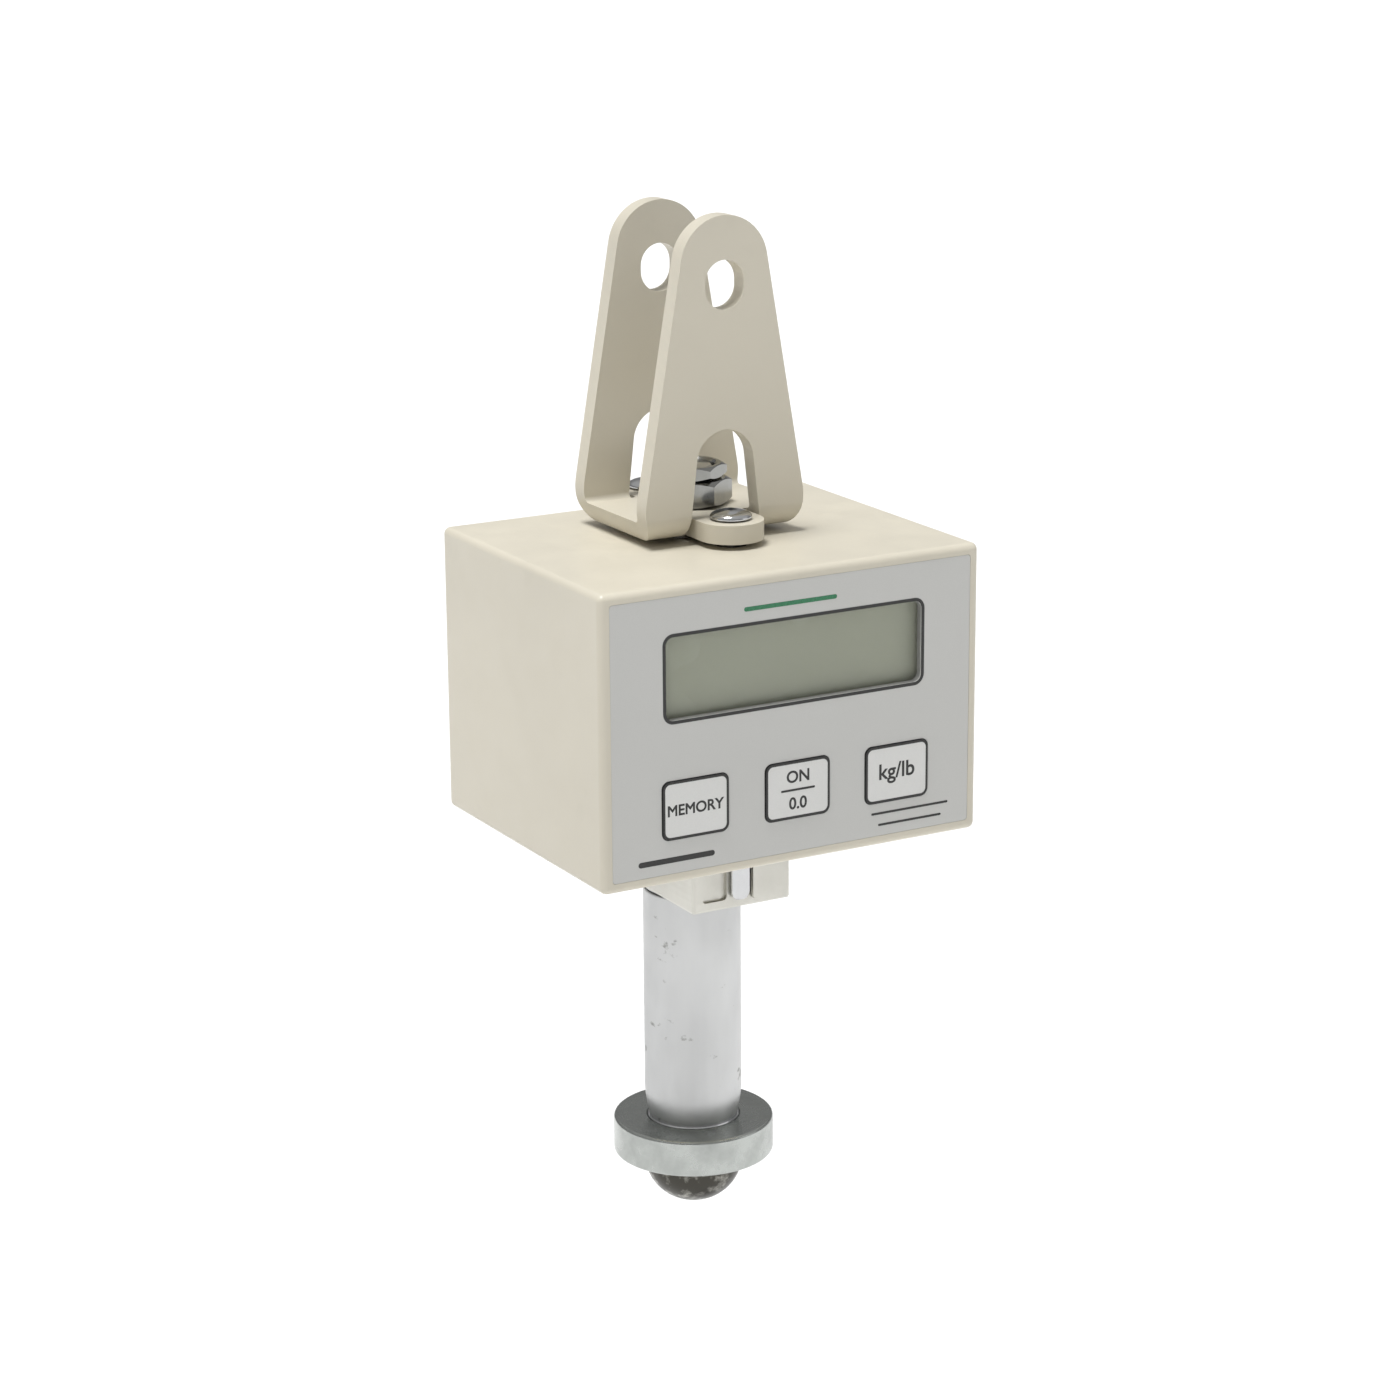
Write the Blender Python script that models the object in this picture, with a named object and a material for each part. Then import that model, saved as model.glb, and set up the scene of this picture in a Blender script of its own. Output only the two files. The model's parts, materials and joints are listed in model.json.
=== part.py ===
"""Hanging crane scale: a clevis bolted on top of an S-beam load cell, a sheet-metal
case round the cell with a display and three keys, and a swivelling spindle with a
load flange below. Units are metres, +Z is up, the front with the display faces -Y.
The origin is the middle of the clevis pin hole, on the load line."""

import bmesh
import bpy
from math import asin, atan2, cos, hypot, pi, radians, sin
from mathutils import Matrix, Vector

# ---- driving dimensions -----------------------------------------------------------
GAP = 0.0003                 # clearance between pieces that touch

CASE_WIDTH = 0.1064
CASE_FRONT = -0.0520
CASE_REAR = 0.0330
CASE_HEIGHT = 0.0740
CASE_WALL = 0.0016
CASE_EDGE = 0.0018           # outside corner radius of the folded case
PIN_ABOVE_CASE = 0.0640      # pin axis to the case's top face
CASE_TOP = -PIN_ABOVE_CASE
CASE_BOTTOM = CASE_TOP - CASE_HEIGHT

PLATE = 0.0048               # clevis plate thickness
EAR_REACH = 0.0187           # load line to an ear's outer face
EAR_BEND = 0.0062            # outside radius of the bends
EAR_TIP_RADIUS = 0.0122
EAR_TIP = 0.0170             # pin axis to the top of the ears
EAR_HIP = 0.0222             # half width where the sides end
EAR_HIP_DROP = 0.0520        # pin axis down to that place
EAR_HIP_RADIUS = 0.0140
CLEVIS_LIFT = 0.0015         # clevis base above the case
CLEVIS_BASE = CASE_TOP + CLEVIS_LIFT
CLEVIS_FLOOR = CLEVIS_BASE + PLATE
PIN_HOLE_RADIUS = 0.0054
PIN_HOLE_STRETCH = 0.0007    # the hole is a little taller than wide
ARCH_TOP = CASE_TOP + 0.0282
ARCH_RADIUS = 0.0080
ARCH_FOOT = 0.0104           # half width at the base
TAB_RADIUS = 0.0082
TAB_SCREW = 0.0213           # load line to the tab screws
TAB_SCREW_RADIUS = 0.0030
TAB_HEAD_RADIUS = 0.0053
TAB_HEAD_HEIGHT = 0.0024
TAB_SCREW_LENGTH = 0.0180

STUD_RADIUS = 0.00635
NUT_FLATS = 0.01905
NUT_HEIGHT = 0.0064
NUT_TURN = radians(-23.7)
JAM_NUT_FLATS = 0.0168
JAM_NUT_HEIGHT = 0.0034
JAM_NUT_TURN = radians(-25.0)

CELL_WIDTH = 0.0284
CELL_DEPTH = 0.0520
CELL_TOP = CASE_TOP - CASE_WALL - 2 * GAP
CELL_BOTTOM = CASE_BOTTOM - 0.0194
CELL_SLOT = 0.0030
CELL_EYE = 0.0085            # radius of the gauge pocket's two lobes
CELL_ROOM = 0.0024           # clearance round the cell where it leaves the case

SPACER_HALF_X = 0.0090
SPACER_HALF_Y = 0.0105
TAB_SPACER_RADIUS = 0.0040

SPINDLE_RADIUS = 0.0127
SPINDLE_TAPER = 0.0082
SPINDLE_END_RADIUS = 0.0114
BOLT_RADIUS = 0.00635
BORE_RADIUS = BOLT_RADIUS + GAP
FLANGE_RADIUS = 0.0210
FLANGE_THICK = 0.0097
FLANGE_TOP = CASE_TOP - 0.1583
FLANGE_EDGE = 0.0007
SEAT_RADIUS = 0.0121         # shallow seat in the flange for the sleeve's end
SEAT_DEPTH = 0.0004
SPINDLE_END = FLANGE_TOP - SEAT_DEPTH + GAP
DOME_RADIUS = 0.0129
DOME_DROP = 0.0122
DOME_SHOULDER = 0.0005
THRUST_WASHER = 0.0010

PANEL_RIM = 0.0027           # painted rim left round the front overlay
OVERLAY_THICK = 0.0004
OVERLAY_INSET = 0.00005
POCKET_DEPTH = OVERLAY_INSET + OVERLAY_THICK + GAP
WINDOW_WIDTH = 0.0719
WINDOW_TOP = CASE_TOP - 0.0125
WINDOW_HEIGHT = 0.0206
WINDOW_CENTRE = 0.0004
KEY_WIDTH = 0.0180
KEY_HEIGHT = 0.0144
KEY_PITCH = 0.02855
KEY_CENTRE = 0.0008
KEY_TOP = CASE_TOP - 0.0482
KEY_PROUD = 0.0003
KEY_BACK = CASE_FRONT + 0.0022
SOFT_CORNER = 0.0020         # corners of the window and the keys
OVERLAY_CORNER = 0.0008

LENS_THICK = 0.0010
BOARD_FRONT = CASE_FRONT + 0.0078
BOARD_THICK = 0.0016
BOARD_WIDTH = 0.0960
BOARD_HEIGHT = 0.0640

COVER_THICK = 0.0016
COVER_SCREW_RADIUS = 0.0016
COVER_SCREW_INSET = 0.0050   # screw to the case's inner walls
LUG_REACH = 0.0054           # lug's screw hole to the wall it is welded to
LUG_DEPTH = 0.0100

CELL_LENGTH = 0.0500         # size AA battery
BATTERY_RADIUS = 0.00715
TRAY_WALL = 0.0015

ROUND = 40                   # sides of a large turned piece
SMALL_ROUND = 20             # sides of a small turned piece


# ---- materials --------------------------------------------------------------------
def material(name, colour, roughness, metallic=0.0):
    made = bpy.data.materials.get(name) or bpy.data.materials.new(name)
    made.use_nodes = True
    shader = made.node_tree.nodes["Principled BSDF"]
    shader.inputs["Base Color"].default_value = (*colour, 1.0)
    shader.inputs["Roughness"].default_value = roughness
    shader.inputs["Metallic"].default_value = metallic
    return made


def beige_paint():
    return material("beige_paint", (0.62, 0.57, 0.46), 0.42)


def zinc():
    return material("bright_zinc", (0.72, 0.73, 0.74), 0.3, 1.0)


def polished_steel():
    return material("polished_steel", (0.66, 0.67, 0.67), 0.14, 1.0)


def dark_steel():
    return material("dark_steel", (0.13, 0.12, 0.10), 0.3, 1.0)


def nickel_plate():
    return material("nickel_plate", (0.58, 0.56, 0.50), 0.35, 1.0)


def label_film():
    return material("label_film", (0.49, 0.49, 0.47), 0.5)


def key_film():
    return material("key_film", (0.60, 0.60, 0.57), 0.45)


def clear_lens():
    return material("clear_lens", (0.75, 0.78, 0.72), 0.08)


def display_glass():
    return material("display_glass", (0.29, 0.31, 0.23), 0.2)


def circuit_board():
    return material("circuit_board", (0.03, 0.17, 0.07), 0.5)


def black_plastic():
    return material("black_plastic", (0.03, 0.03, 0.03), 0.5)


def battery_wrap():
    return material("battery_wrap", (0.12, 0.12, 0.13), 0.35)


def cable_jacket():
    return material("cable_jacket", (0.16, 0.16, 0.17), 0.55)


# ---- shape helpers ----------------------------------------------------------------
def clear_scene():
    for old in list(bpy.data.objects):
        bpy.data.objects.remove(old, do_unlink=True)


def add_object(name, mesh, surface, smooth_below=35):
    made = bpy.data.objects.new(name, mesh)
    bpy.context.scene.collection.objects.link(made)
    if surface:
        mesh.materials.append(surface)
    mesh.shade_smooth()
    mesh.set_sharp_from_angle(angle=radians(smooth_below))
    return made


def from_bmesh(name, shape, surface):
    bmesh.ops.recalc_face_normals(shape, faces=shape.faces)
    mesh = bpy.data.meshes.new(name)
    shape.to_mesh(mesh)
    shape.free()
    return add_object(name, mesh, surface)


def block(name, low, high, surface=None):
    """A box between two corners, placed by its own centre."""
    centre = [(a + b) / 2 for a, b in zip(low, high)]
    size = [b - a for a, b in zip(low, high)]
    shape = bmesh.new()
    bmesh.ops.create_cube(shape, size=1.0)
    bmesh.ops.scale(shape, vec=size, verts=shape.verts)
    made = from_bmesh(name, shape, surface)
    made.location = centre
    return made


PLANES = {
    "X": Matrix(((0, 0, 1, 0), (1, 0, 0, 0), (0, 1, 0, 0), (0, 0, 0, 1))),
    "Y": Matrix(((1, 0, 0, 0), (0, 0, -1, 0), (0, 1, 0, 0), (0, 0, 0, 1))),
    "Z": Matrix.Identity(4),
}


def prism(name, outline, axis, start, end, surface=None):
    """An outline drawn in (Y, Z), (X, Z) or (X, Y), extruded along the axis left out."""
    if axis == "Y":
        start, end = -end, -start
    shape = bmesh.new()
    corners = [shape.verts.new((u, v, start)) for u, v in outline]
    face = shape.faces.new(corners)
    pushed = bmesh.ops.extrude_face_region(shape, geom=[face])["geom"]
    moved = [item for item in pushed if isinstance(item, bmesh.types.BMVert)]
    bmesh.ops.translate(shape, vec=(0, 0, end - start), verts=moved)
    bmesh.ops.transform(shape, matrix=PLANES[axis], verts=shape.verts)
    return from_bmesh(name, shape, surface)


def turned(name, profile, surface=None, sides=ROUND, at=(0, 0)):
    """A closed profile of (radius, height) points, top to bottom down its outer side,
    screwed one turn round an upright axis."""
    mesh = bpy.data.meshes.new(name)
    points = [(radius, 0, height) for radius, height in profile]
    on_axis = profile[0][0] == 0 and profile[-1][0] == 0
    count = len(points)
    edges = [(i, (i + 1) % count) for i in range(count - 1 if on_axis else count)]
    mesh.from_pydata(points, edges, [])
    made = add_object(name, mesh, surface)
    made.location = (at[0], at[1], 0)
    screw = made.modifiers.new("Turn", "SCREW")
    screw.steps = screw.render_steps = sides
    screw.use_merge_vertices = True
    screw.merge_threshold = 0.00002
    screw.use_smooth_shade = True
    settle(made)
    return made


def settle(made):
    """Applies the modifiers, then marks sharp edges on the result."""
    graph = bpy.context.evaluated_depsgraph_get()
    result = bpy.data.meshes.new_from_object(made.evaluated_get(graph))
    made.modifiers.clear()
    result.name = made.name
    made.data = result
    shape = bmesh.new()
    shape.from_mesh(result)
    bmesh.ops.remove_doubles(shape, verts=shape.verts, dist=0.000002)
    bmesh.ops.dissolve_degenerate(shape, edges=shape.edges, dist=0.000002)
    bmesh.ops.recalc_face_normals(shape, faces=shape.faces)
    shape.to_mesh(result)
    shape.free()
    result.shade_smooth()
    result.set_sharp_from_angle(angle=radians(35))


def bevelled(made, width, segments=2, angle=40):
    bevel = made.modifiers.new("Soft edges", "BEVEL")
    bevel.width = width
    bevel.segments = segments
    bevel.limit_method = "ANGLE"
    bevel.angle_limit = radians(angle)
    settle(made)
    return made


def combine(made, helper, operation):
    """Joins, cuts or trims a piece with a helper, which stays as a hidden guide."""
    helper.hide_render = True
    helper.display_type = "WIRE"
    change = made.modifiers.new(helper.name, "BOOLEAN")
    change.object = helper
    change.operation = operation
    change.solver = "EXACT"
    bpy.context.view_layer.update()
    settle(made)
    helper.hide_set(True)
    return made


def cut(made, helper):
    return combine(made, helper, "DIFFERENCE")


def arc(centre, radius, start, end, steps):
    """Points of an arc from one angle to another, both ends included."""
    return [
        (centre[0] + radius * cos(start + (end - start) * i / steps),
         centre[1] + radius * sin(start + (end - start) * i / steps))
        for i in range(steps + 1)
    ]


def soft_rectangle(low, high, radius, steps=3):
    """A rectangle between two corners with round corners, as an outline."""
    (left, bottom), (right, top) = low, high
    centres = (
        (right - radius, top - radius, 0.0),
        (left + radius, top - radius, 0.5 * pi),
        (left + radius, bottom + radius, pi),
        (right - radius, bottom + radius, 1.5 * pi),
    )
    outline = []
    for u, v, start in centres:
        outline += arc((u, v), radius, start, start + 0.5 * pi, steps)
    return outline


def circle(centre, radius, steps):
    return arc(centre, radius, 0, 2 * pi * (steps - 1) / steps, steps - 1)


def rod_cutter(name, axis, centre, radius, start, end, sides=SMALL_ROUND):
    return prism(name, circle(centre, radius, sides), axis, start, end)


def hexagon(flats, turn):
    corner = flats / (2 * cos(pi / 6))
    return [(corner * cos(turn + k * pi / 3), corner * sin(turn + k * pi / 3)) for k in range(6)]


def shifted(outline, du, dv):
    return [(u + du, v + dv) for u, v in outline]


# ---- clevis and its fasteners -----------------------------------------------------
def clevis_side_profile():
    """The bent plate seen from the side, as (Y, Z): floor, two bends and two ears."""
    inner = EAR_BEND - PLATE
    turn = CLEVIS_BASE + EAR_BEND
    run = EAR_REACH - EAR_BEND
    top = EAR_TIP + 0.002
    outline = [(EAR_REACH, top)]
    outline += arc((run, turn), EAR_BEND, 0, -pi / 2, 6)
    outline += arc((-run, turn), EAR_BEND, -pi / 2, -pi, 6)
    outline += [(-EAR_REACH, top), (-EAR_REACH + PLATE, top)]
    outline += arc((-run, turn), inner, -pi, -pi / 2, 4)
    outline += arc((run, turn), inner, -pi / 2, 0, 4)
    outline += [(EAR_REACH - PLATE, top)]
    return outline


def ear_outline():
    """An ear seen from the front, as (X, Z): round tip, spreading sides, curved hips."""
    tip = EAR_TIP - EAR_TIP_RADIUS
    hip = -EAR_HIP_DROP
    span = hypot(EAR_HIP, tip - hip)
    lean = atan2(EAR_HIP, tip - hip) - asin(EAR_TIP_RADIUS / span)
    low = CLEVIS_BASE - 0.001
    middle = (EAR_HIP - EAR_HIP_RADIUS * cos(lean), hip - EAR_HIP_RADIUS * sin(lean))
    last = asin(max(-1.0, (low - middle[1]) / EAR_HIP_RADIUS))
    right = arc(middle, EAR_HIP_RADIUS, last, lean, 7)
    crown = arc((0, tip), EAR_TIP_RADIUS, lean, pi - lean, 18)
    left = [(-x, z) for x, z in reversed(right)]
    return right + crown + left


def arch_outline():
    """The arched window at an ear's foot, as (X, Z)."""
    middle = ARCH_TOP - ARCH_RADIUS
    low = CLEVIS_BASE - 0.002
    drop = middle - CLEVIS_FLOOR
    lean = atan2(ARCH_FOOT, drop) - asin(min(1.0, ARCH_RADIUS / hypot(ARCH_FOOT, drop)))
    crown = arc((0, middle), ARCH_RADIUS, lean, pi - lean, 12)
    return [(ARCH_FOOT, low), *crown, (-ARCH_FOOT, low)]


def pin_hole_outline():
    right = arc((0, PIN_HOLE_STRETCH), PIN_HOLE_RADIUS, 0, pi, 14)
    left = arc((0, -PIN_HOLE_STRETCH), PIN_HOLE_RADIUS, pi, 2 * pi, 14)
    return right + left


def tab_outline():
    """The floor strip whose round ends stick out through both arches, as (X, Y)."""
    front = arc((0, -TAB_SCREW), TAB_RADIUS, -pi, 0, 14)
    rear = arc((0, TAB_SCREW), TAB_RADIUS, 0, pi, 14)
    return front + rear


def clevis_bracket():
    wide = EAR_HIP + 0.004
    made = prism("clevis_bracket", clevis_side_profile(), "X", -wide, wide, beige_paint())
    combine(made, prism("ear_trim", ear_outline(), "Y", -0.03, 0.03), "INTERSECT")
    inside = EAR_REACH - EAR_BEND
    for side, start, end in (("front", -0.03, -inside), ("rear", inside, 0.03)):
        cut(made, prism(f"arch_cutter_{side}", arch_outline(), "Y", start, end))
    strip = prism("tab_strip", tab_outline(), "Z", CLEVIS_BASE, CLEVIS_FLOOR)
    combine(made, strip, "UNION")
    cut(made, prism("pin_hole_cutter", pin_hole_outline(), "Y", -0.03, 0.03))
    holes = (("stud", 0, STUD_RADIUS), ("front", -TAB_SCREW, TAB_SCREW_RADIUS),
             ("rear", TAB_SCREW, TAB_SCREW_RADIUS))
    for which, y, radius in holes:
        cut(made, rod_cutter(f"floor_cutter_{which}", "Z", (0, y), radius + GAP,
                             CLEVIS_BASE - 0.002, CLEVIS_FLOOR + 0.002, ROUND))
    return made


def socket_screw(name, at, seat, shank_radius, length, head_radius, head_height,
                 surface, sides=28):
    """A button-head screw with a hexagon socket, its head standing on seat."""
    crown = [
        (head_radius * cos(a), head_height * (0.18 + 0.82 * sin(a)))
        for a in (radians(70), radians(50), radians(32), radians(15), 0)
    ]
    profile = [(0, head_height), (0.2 * head_radius, head_height), *crown,
               (head_radius, 0), (shank_radius, 0), (shank_radius, -length), (0, -length)]
    made = turned(name, [(radius, seat + height) for radius, height in profile], surface, sides, at)
    flats = head_radius * 0.80
    depth = head_height * 0.55
    cutter = prism(f"{name}_socket", shifted(hexagon(flats, 0.2), *at), "Z",
                   seat + head_height - depth, seat + head_height + 0.002)
    return cut(made, cutter)


def clevis_screws():
    for name, y in (("clevis_screw_front", -TAB_SCREW), ("clevis_screw_rear", TAB_SCREW)):
        socket_screw(name, (0, y), CLEVIS_FLOOR + GAP, TAB_SCREW_RADIUS, TAB_SCREW_LENGTH,
                     TAB_HEAD_RADIUS, TAB_HEAD_HEIGHT, zinc())


def hanger_stud():
    top = CLEVIS_FLOOR + GAP + NUT_HEIGHT + GAP + JAM_NUT_HEIGHT - 0.0004
    bottom = CELL_TOP - 0.0140
    lip = 0.0009
    profile = [(0, top), (STUD_RADIUS - lip, top), (STUD_RADIUS, top - lip),
               (STUD_RADIUS, bottom + lip), (STUD_RADIUS - lip, bottom), (0, bottom)]
    return turned("hanger_stud", profile, zinc(), 32)


def stud_nut(name, bottom, flats, height, turn):
    """A hexagon nut, its corners chamfered on both faces."""
    corner = flats / (2 * cos(pi / 6))
    flat = flats / 2 * 0.97
    drop = (corner - flat) * 0.55
    top = bottom + height
    made = prism(name, hexagon(flats, turn), "Z", bottom, top, zinc())
    barrel = turned(f"{name}_barrel", [
        (0, top), (flat, top), (corner, top - drop), (corner, bottom + drop),
        (flat, bottom), (0, bottom)])
    combine(made, barrel, "INTERSECT")
    return cut(made, rod_cutter(f"{name}_bore", "Z", (0, 0), STUD_RADIUS + GAP,
                                bottom - 0.002, top + 0.002, 32))


def stud_nuts():
    seat = CLEVIS_FLOOR + GAP
    stud_nut("stud_nut_lower", seat, NUT_FLATS, NUT_HEIGHT, NUT_TURN)
    stud_nut("stud_nut_upper", seat + NUT_HEIGHT + GAP, JAM_NUT_FLATS, JAM_NUT_HEIGHT, JAM_NUT_TURN)


def clevis_spacers():
    """Spacers that pass through the case's top and seat the clevis on the load cell."""
    low = CELL_TOP + GAP
    high = CLEVIS_BASE - GAP
    outline = soft_rectangle((-SPACER_HALF_X, -SPACER_HALF_Y), (SPACER_HALF_X, SPACER_HALF_Y), 0.002)
    made = prism("clevis_spacer", outline, "Z", low, high, zinc())
    cut(made, rod_cutter("spacer_cutter", "Z", (0, 0), STUD_RADIUS + GAP, low - 0.002, high + 0.002, 32))
    for name, y in (("tab_spacer_front", -TAB_SCREW), ("tab_spacer_rear", TAB_SCREW)):
        inner = TAB_SCREW_RADIUS + GAP
        profile = [(inner, high), (TAB_SPACER_RADIUS, high), (TAB_SPACER_RADIUS, low), (inner, low)]
        turned(name, profile, dark_steel(), SMALL_ROUND, (0, y))


# ---- load cell --------------------------------------------------------------------
def cell_eye_outline():
    """The strain-gauge pocket: two round lobes joined by a waist, as (Y, Z)."""
    middle = (CELL_TOP + CELL_BOTTOM) / 2
    reach = 0.0095
    waist = 0.0040
    join = asin(waist / CELL_EYE)
    right = arc((reach, middle), CELL_EYE, -pi + join, pi - join, 16)
    left = arc((-reach, middle), CELL_EYE, join, 2 * pi - join, 16)
    return right + left


def load_cell():
    """An S-beam: two slots from opposite sides leave a thin web round the pocket."""
    half_x = CELL_WIDTH / 2
    half_y = CELL_DEPTH / 2
    middle = (CELL_TOP + CELL_BOTTOM) / 2
    made = block("load_cell", (-half_x, -half_y, CELL_BOTTOM), (half_x, half_y, CELL_TOP),
                 nickel_plate())
    bevelled(made, 0.0008)
    wide = half_x + 0.002
    cut(made, prism("eye_cutter", cell_eye_outline(), "X", -wide, wide))
    rise = CELL_EYE + 0.0065
    slots = (("upper", -half_y - 0.002, 0.017, middle + rise),
             ("lower", -0.017, half_y + 0.002, middle - rise))
    for which, start, end, height in slots:
        low = (-wide, start, height - CELL_SLOT / 2)
        high = (wide, end, height + CELL_SLOT / 2)
        cut(made, block(f"slot_cutter_{which}", low, high))
    cut(made, rod_cutter("stud_cutter", "Z", (0, 0), STUD_RADIUS + GAP,
                         CELL_TOP - 0.0160, CELL_TOP + 0.002, 32))
    for which, y in (("front", -TAB_SCREW), ("rear", TAB_SCREW)):
        cut(made, rod_cutter(f"tab_cutter_{which}", "Z", (0, y), TAB_SCREW_RADIUS + GAP,
                             CELL_TOP - 0.0150, CELL_TOP + 0.002))
    cut(made, rod_cutter("bolt_cutter", "Z", (0, 0), BORE_RADIUS,
                         CELL_BOTTOM - 0.002, CELL_BOTTOM + 0.0200, 32))
    pocket = soft_rectangle((-0.0114, CELL_BOTTOM + 0.0026), (-0.0044, CELL_BOTTOM + 0.0150), 0.001, 3)
    cut(made, prism("end_pocket_cutter", pocket, "Y", -half_y - 0.002, -half_y + 0.0009))
    return made


def gauge_covers():
    """Thin plates over the gauge pocket on both sides of the cell."""
    middle = (CELL_TOP + CELL_BOTTOM) / 2
    outline = soft_rectangle((-0.0205, middle - 0.0115), (0.0205, middle + 0.0115), 0.003)
    near = CELL_WIDTH / 2 + GAP
    far = near + 0.0010
    prism("gauge_cover_left", outline, "X", -far, -near, nickel_plate())
    prism("gauge_cover_right", outline, "X", near, far, nickel_plate())


def cell_end_fittings():
    """The stop plate and the bright stop block on the cell's lower front end."""
    face = -CELL_DEPTH / 2 - GAP
    low = CELL_BOTTOM + 0.0018
    plate = soft_rectangle((0.0026, low), (0.0122, low + 0.0140), 0.0012, 3)
    prism("cell_stop_plate", plate, "Y", face - 0.0010, face, nickel_plate())
    stop = soft_rectangle((-0.0036, low + 0.0008), (0.0016, low + 0.0132), 0.0020, 3)
    made = prism("cell_stop_block", stop, "Y", face - 0.0016, face, zinc())
    bevelled(made, 0.0004, 1)


# ---- spindle ----------------------------------------------------------------------
def spindle_sleeve():
    top = CELL_BOTTOM - 2 * GAP - THRUST_WASHER
    taper = [
        (SPINDLE_RADIUS - (SPINDLE_RADIUS - SPINDLE_END_RADIUS) * share ** 1.6,
         SPINDLE_END + SPINDLE_TAPER * (1 - share))
        for share in (0, 0.25, 0.5, 0.75, 1.0)
    ]
    lip = 0.0005
    profile = [(BORE_RADIUS, top), (SPINDLE_RADIUS - lip, top), (SPINDLE_RADIUS, top - lip),
               *taper, (BORE_RADIUS, SPINDLE_END)]
    return turned("spindle_sleeve", profile, zinc())


def thrust_washer(name, outer, top, surface):
    low = top - THRUST_WASHER
    profile = [(BORE_RADIUS, top), (outer, top), (outer, low), (BORE_RADIUS, low)]
    return turned(name, profile, surface)


def load_flange():
    """The flange that a sling bar's hub rests on, with a shallow seat for the sleeve."""
    low = FLANGE_TOP - FLANGE_THICK
    seat = FLANGE_TOP - SEAT_DEPTH
    edge = FLANGE_RADIUS - FLANGE_EDGE
    profile = [(BORE_RADIUS, seat), (SEAT_RADIUS, seat), (SEAT_RADIUS, FLANGE_TOP), (edge, FLANGE_TOP),
               (FLANGE_RADIUS, FLANGE_TOP - FLANGE_EDGE), (FLANGE_RADIUS, low + FLANGE_EDGE),
               (edge, low), (BORE_RADIUS, low)]
    return turned("load_flange", profile, polished_steel())


def spindle_rings():
    thrust_washer("upper_thrust_washer", SPINDLE_RADIUS - GAP, CELL_BOTTOM - GAP, polished_steel())
    load_flange()
    thrust_washer("lower_thrust_washer", DOME_RADIUS - 0.0014, FLANGE_TOP - FLANGE_THICK - GAP,
                  dark_steel())


def swivel_bolt():
    """The dome-headed bolt that carries the load, screwed up into the cell."""
    seat = FLANGE_TOP - FLANGE_THICK - THRUST_WASHER - 2 * GAP
    top = CELL_BOTTOM + 0.0170
    equator = seat - DOME_SHOULDER
    dome = [
        (DOME_RADIUS * cos(a), equator - DOME_DROP * sin(a))
        for a in (radians(step) for step in range(0, 90, 12))
    ]
    lip = 0.0009
    profile = [(0, top), (BOLT_RADIUS - lip, top), (BOLT_RADIUS, top - lip), (BOLT_RADIUS, seat),
               (DOME_RADIUS - 0.0003, seat), *dome, (0, equator - DOME_DROP)]
    made = turned("swivel_bolt", profile, dark_steel())
    tip = equator - DOME_DROP
    return cut(made, prism("bolt_socket", hexagon(0.0080, 0), "Z", tip - 0.002, tip + 0.0055))


# ---- case -------------------------------------------------------------------------
def window_rectangle(grow=0.0):
    half = WINDOW_WIDTH / 2 + grow
    low = (WINDOW_CENTRE - half, WINDOW_TOP - WINDOW_HEIGHT - grow)
    high = (WINDOW_CENTRE + half, WINDOW_TOP + grow)
    return low, high


def key_rectangle(index, grow=0.0):
    middle = KEY_CENTRE + (index - 1) * KEY_PITCH
    half = KEY_WIDTH / 2 + grow
    return (middle - half, KEY_TOP - KEY_HEIGHT - grow), (middle + half, KEY_TOP + grow)


def overlay_rectangle(grow=0.0):
    half = CASE_WIDTH / 2 - PANEL_RIM + grow
    return (-half, CASE_BOTTOM + PANEL_RIM - grow), (half, CASE_TOP - PANEL_RIM + grow)


def board_corners():
    half = BOARD_WIDTH / 2 - 0.0045
    middle = (CASE_TOP + CASE_BOTTOM) / 2
    rise = BOARD_HEIGHT / 2 - 0.0045
    return [(x, middle + z) for x in (-half, half) for z in (-rise, rise)]


def cover_corners():
    half = CASE_WIDTH / 2 - CASE_WALL - COVER_SCREW_INSET
    top = CASE_TOP - CASE_WALL - COVER_SCREW_INSET
    bottom = CASE_BOTTOM + CASE_WALL + COVER_SCREW_INSET
    return [(x, z) for x in (-half, half) for z in (bottom, top)]


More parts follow.
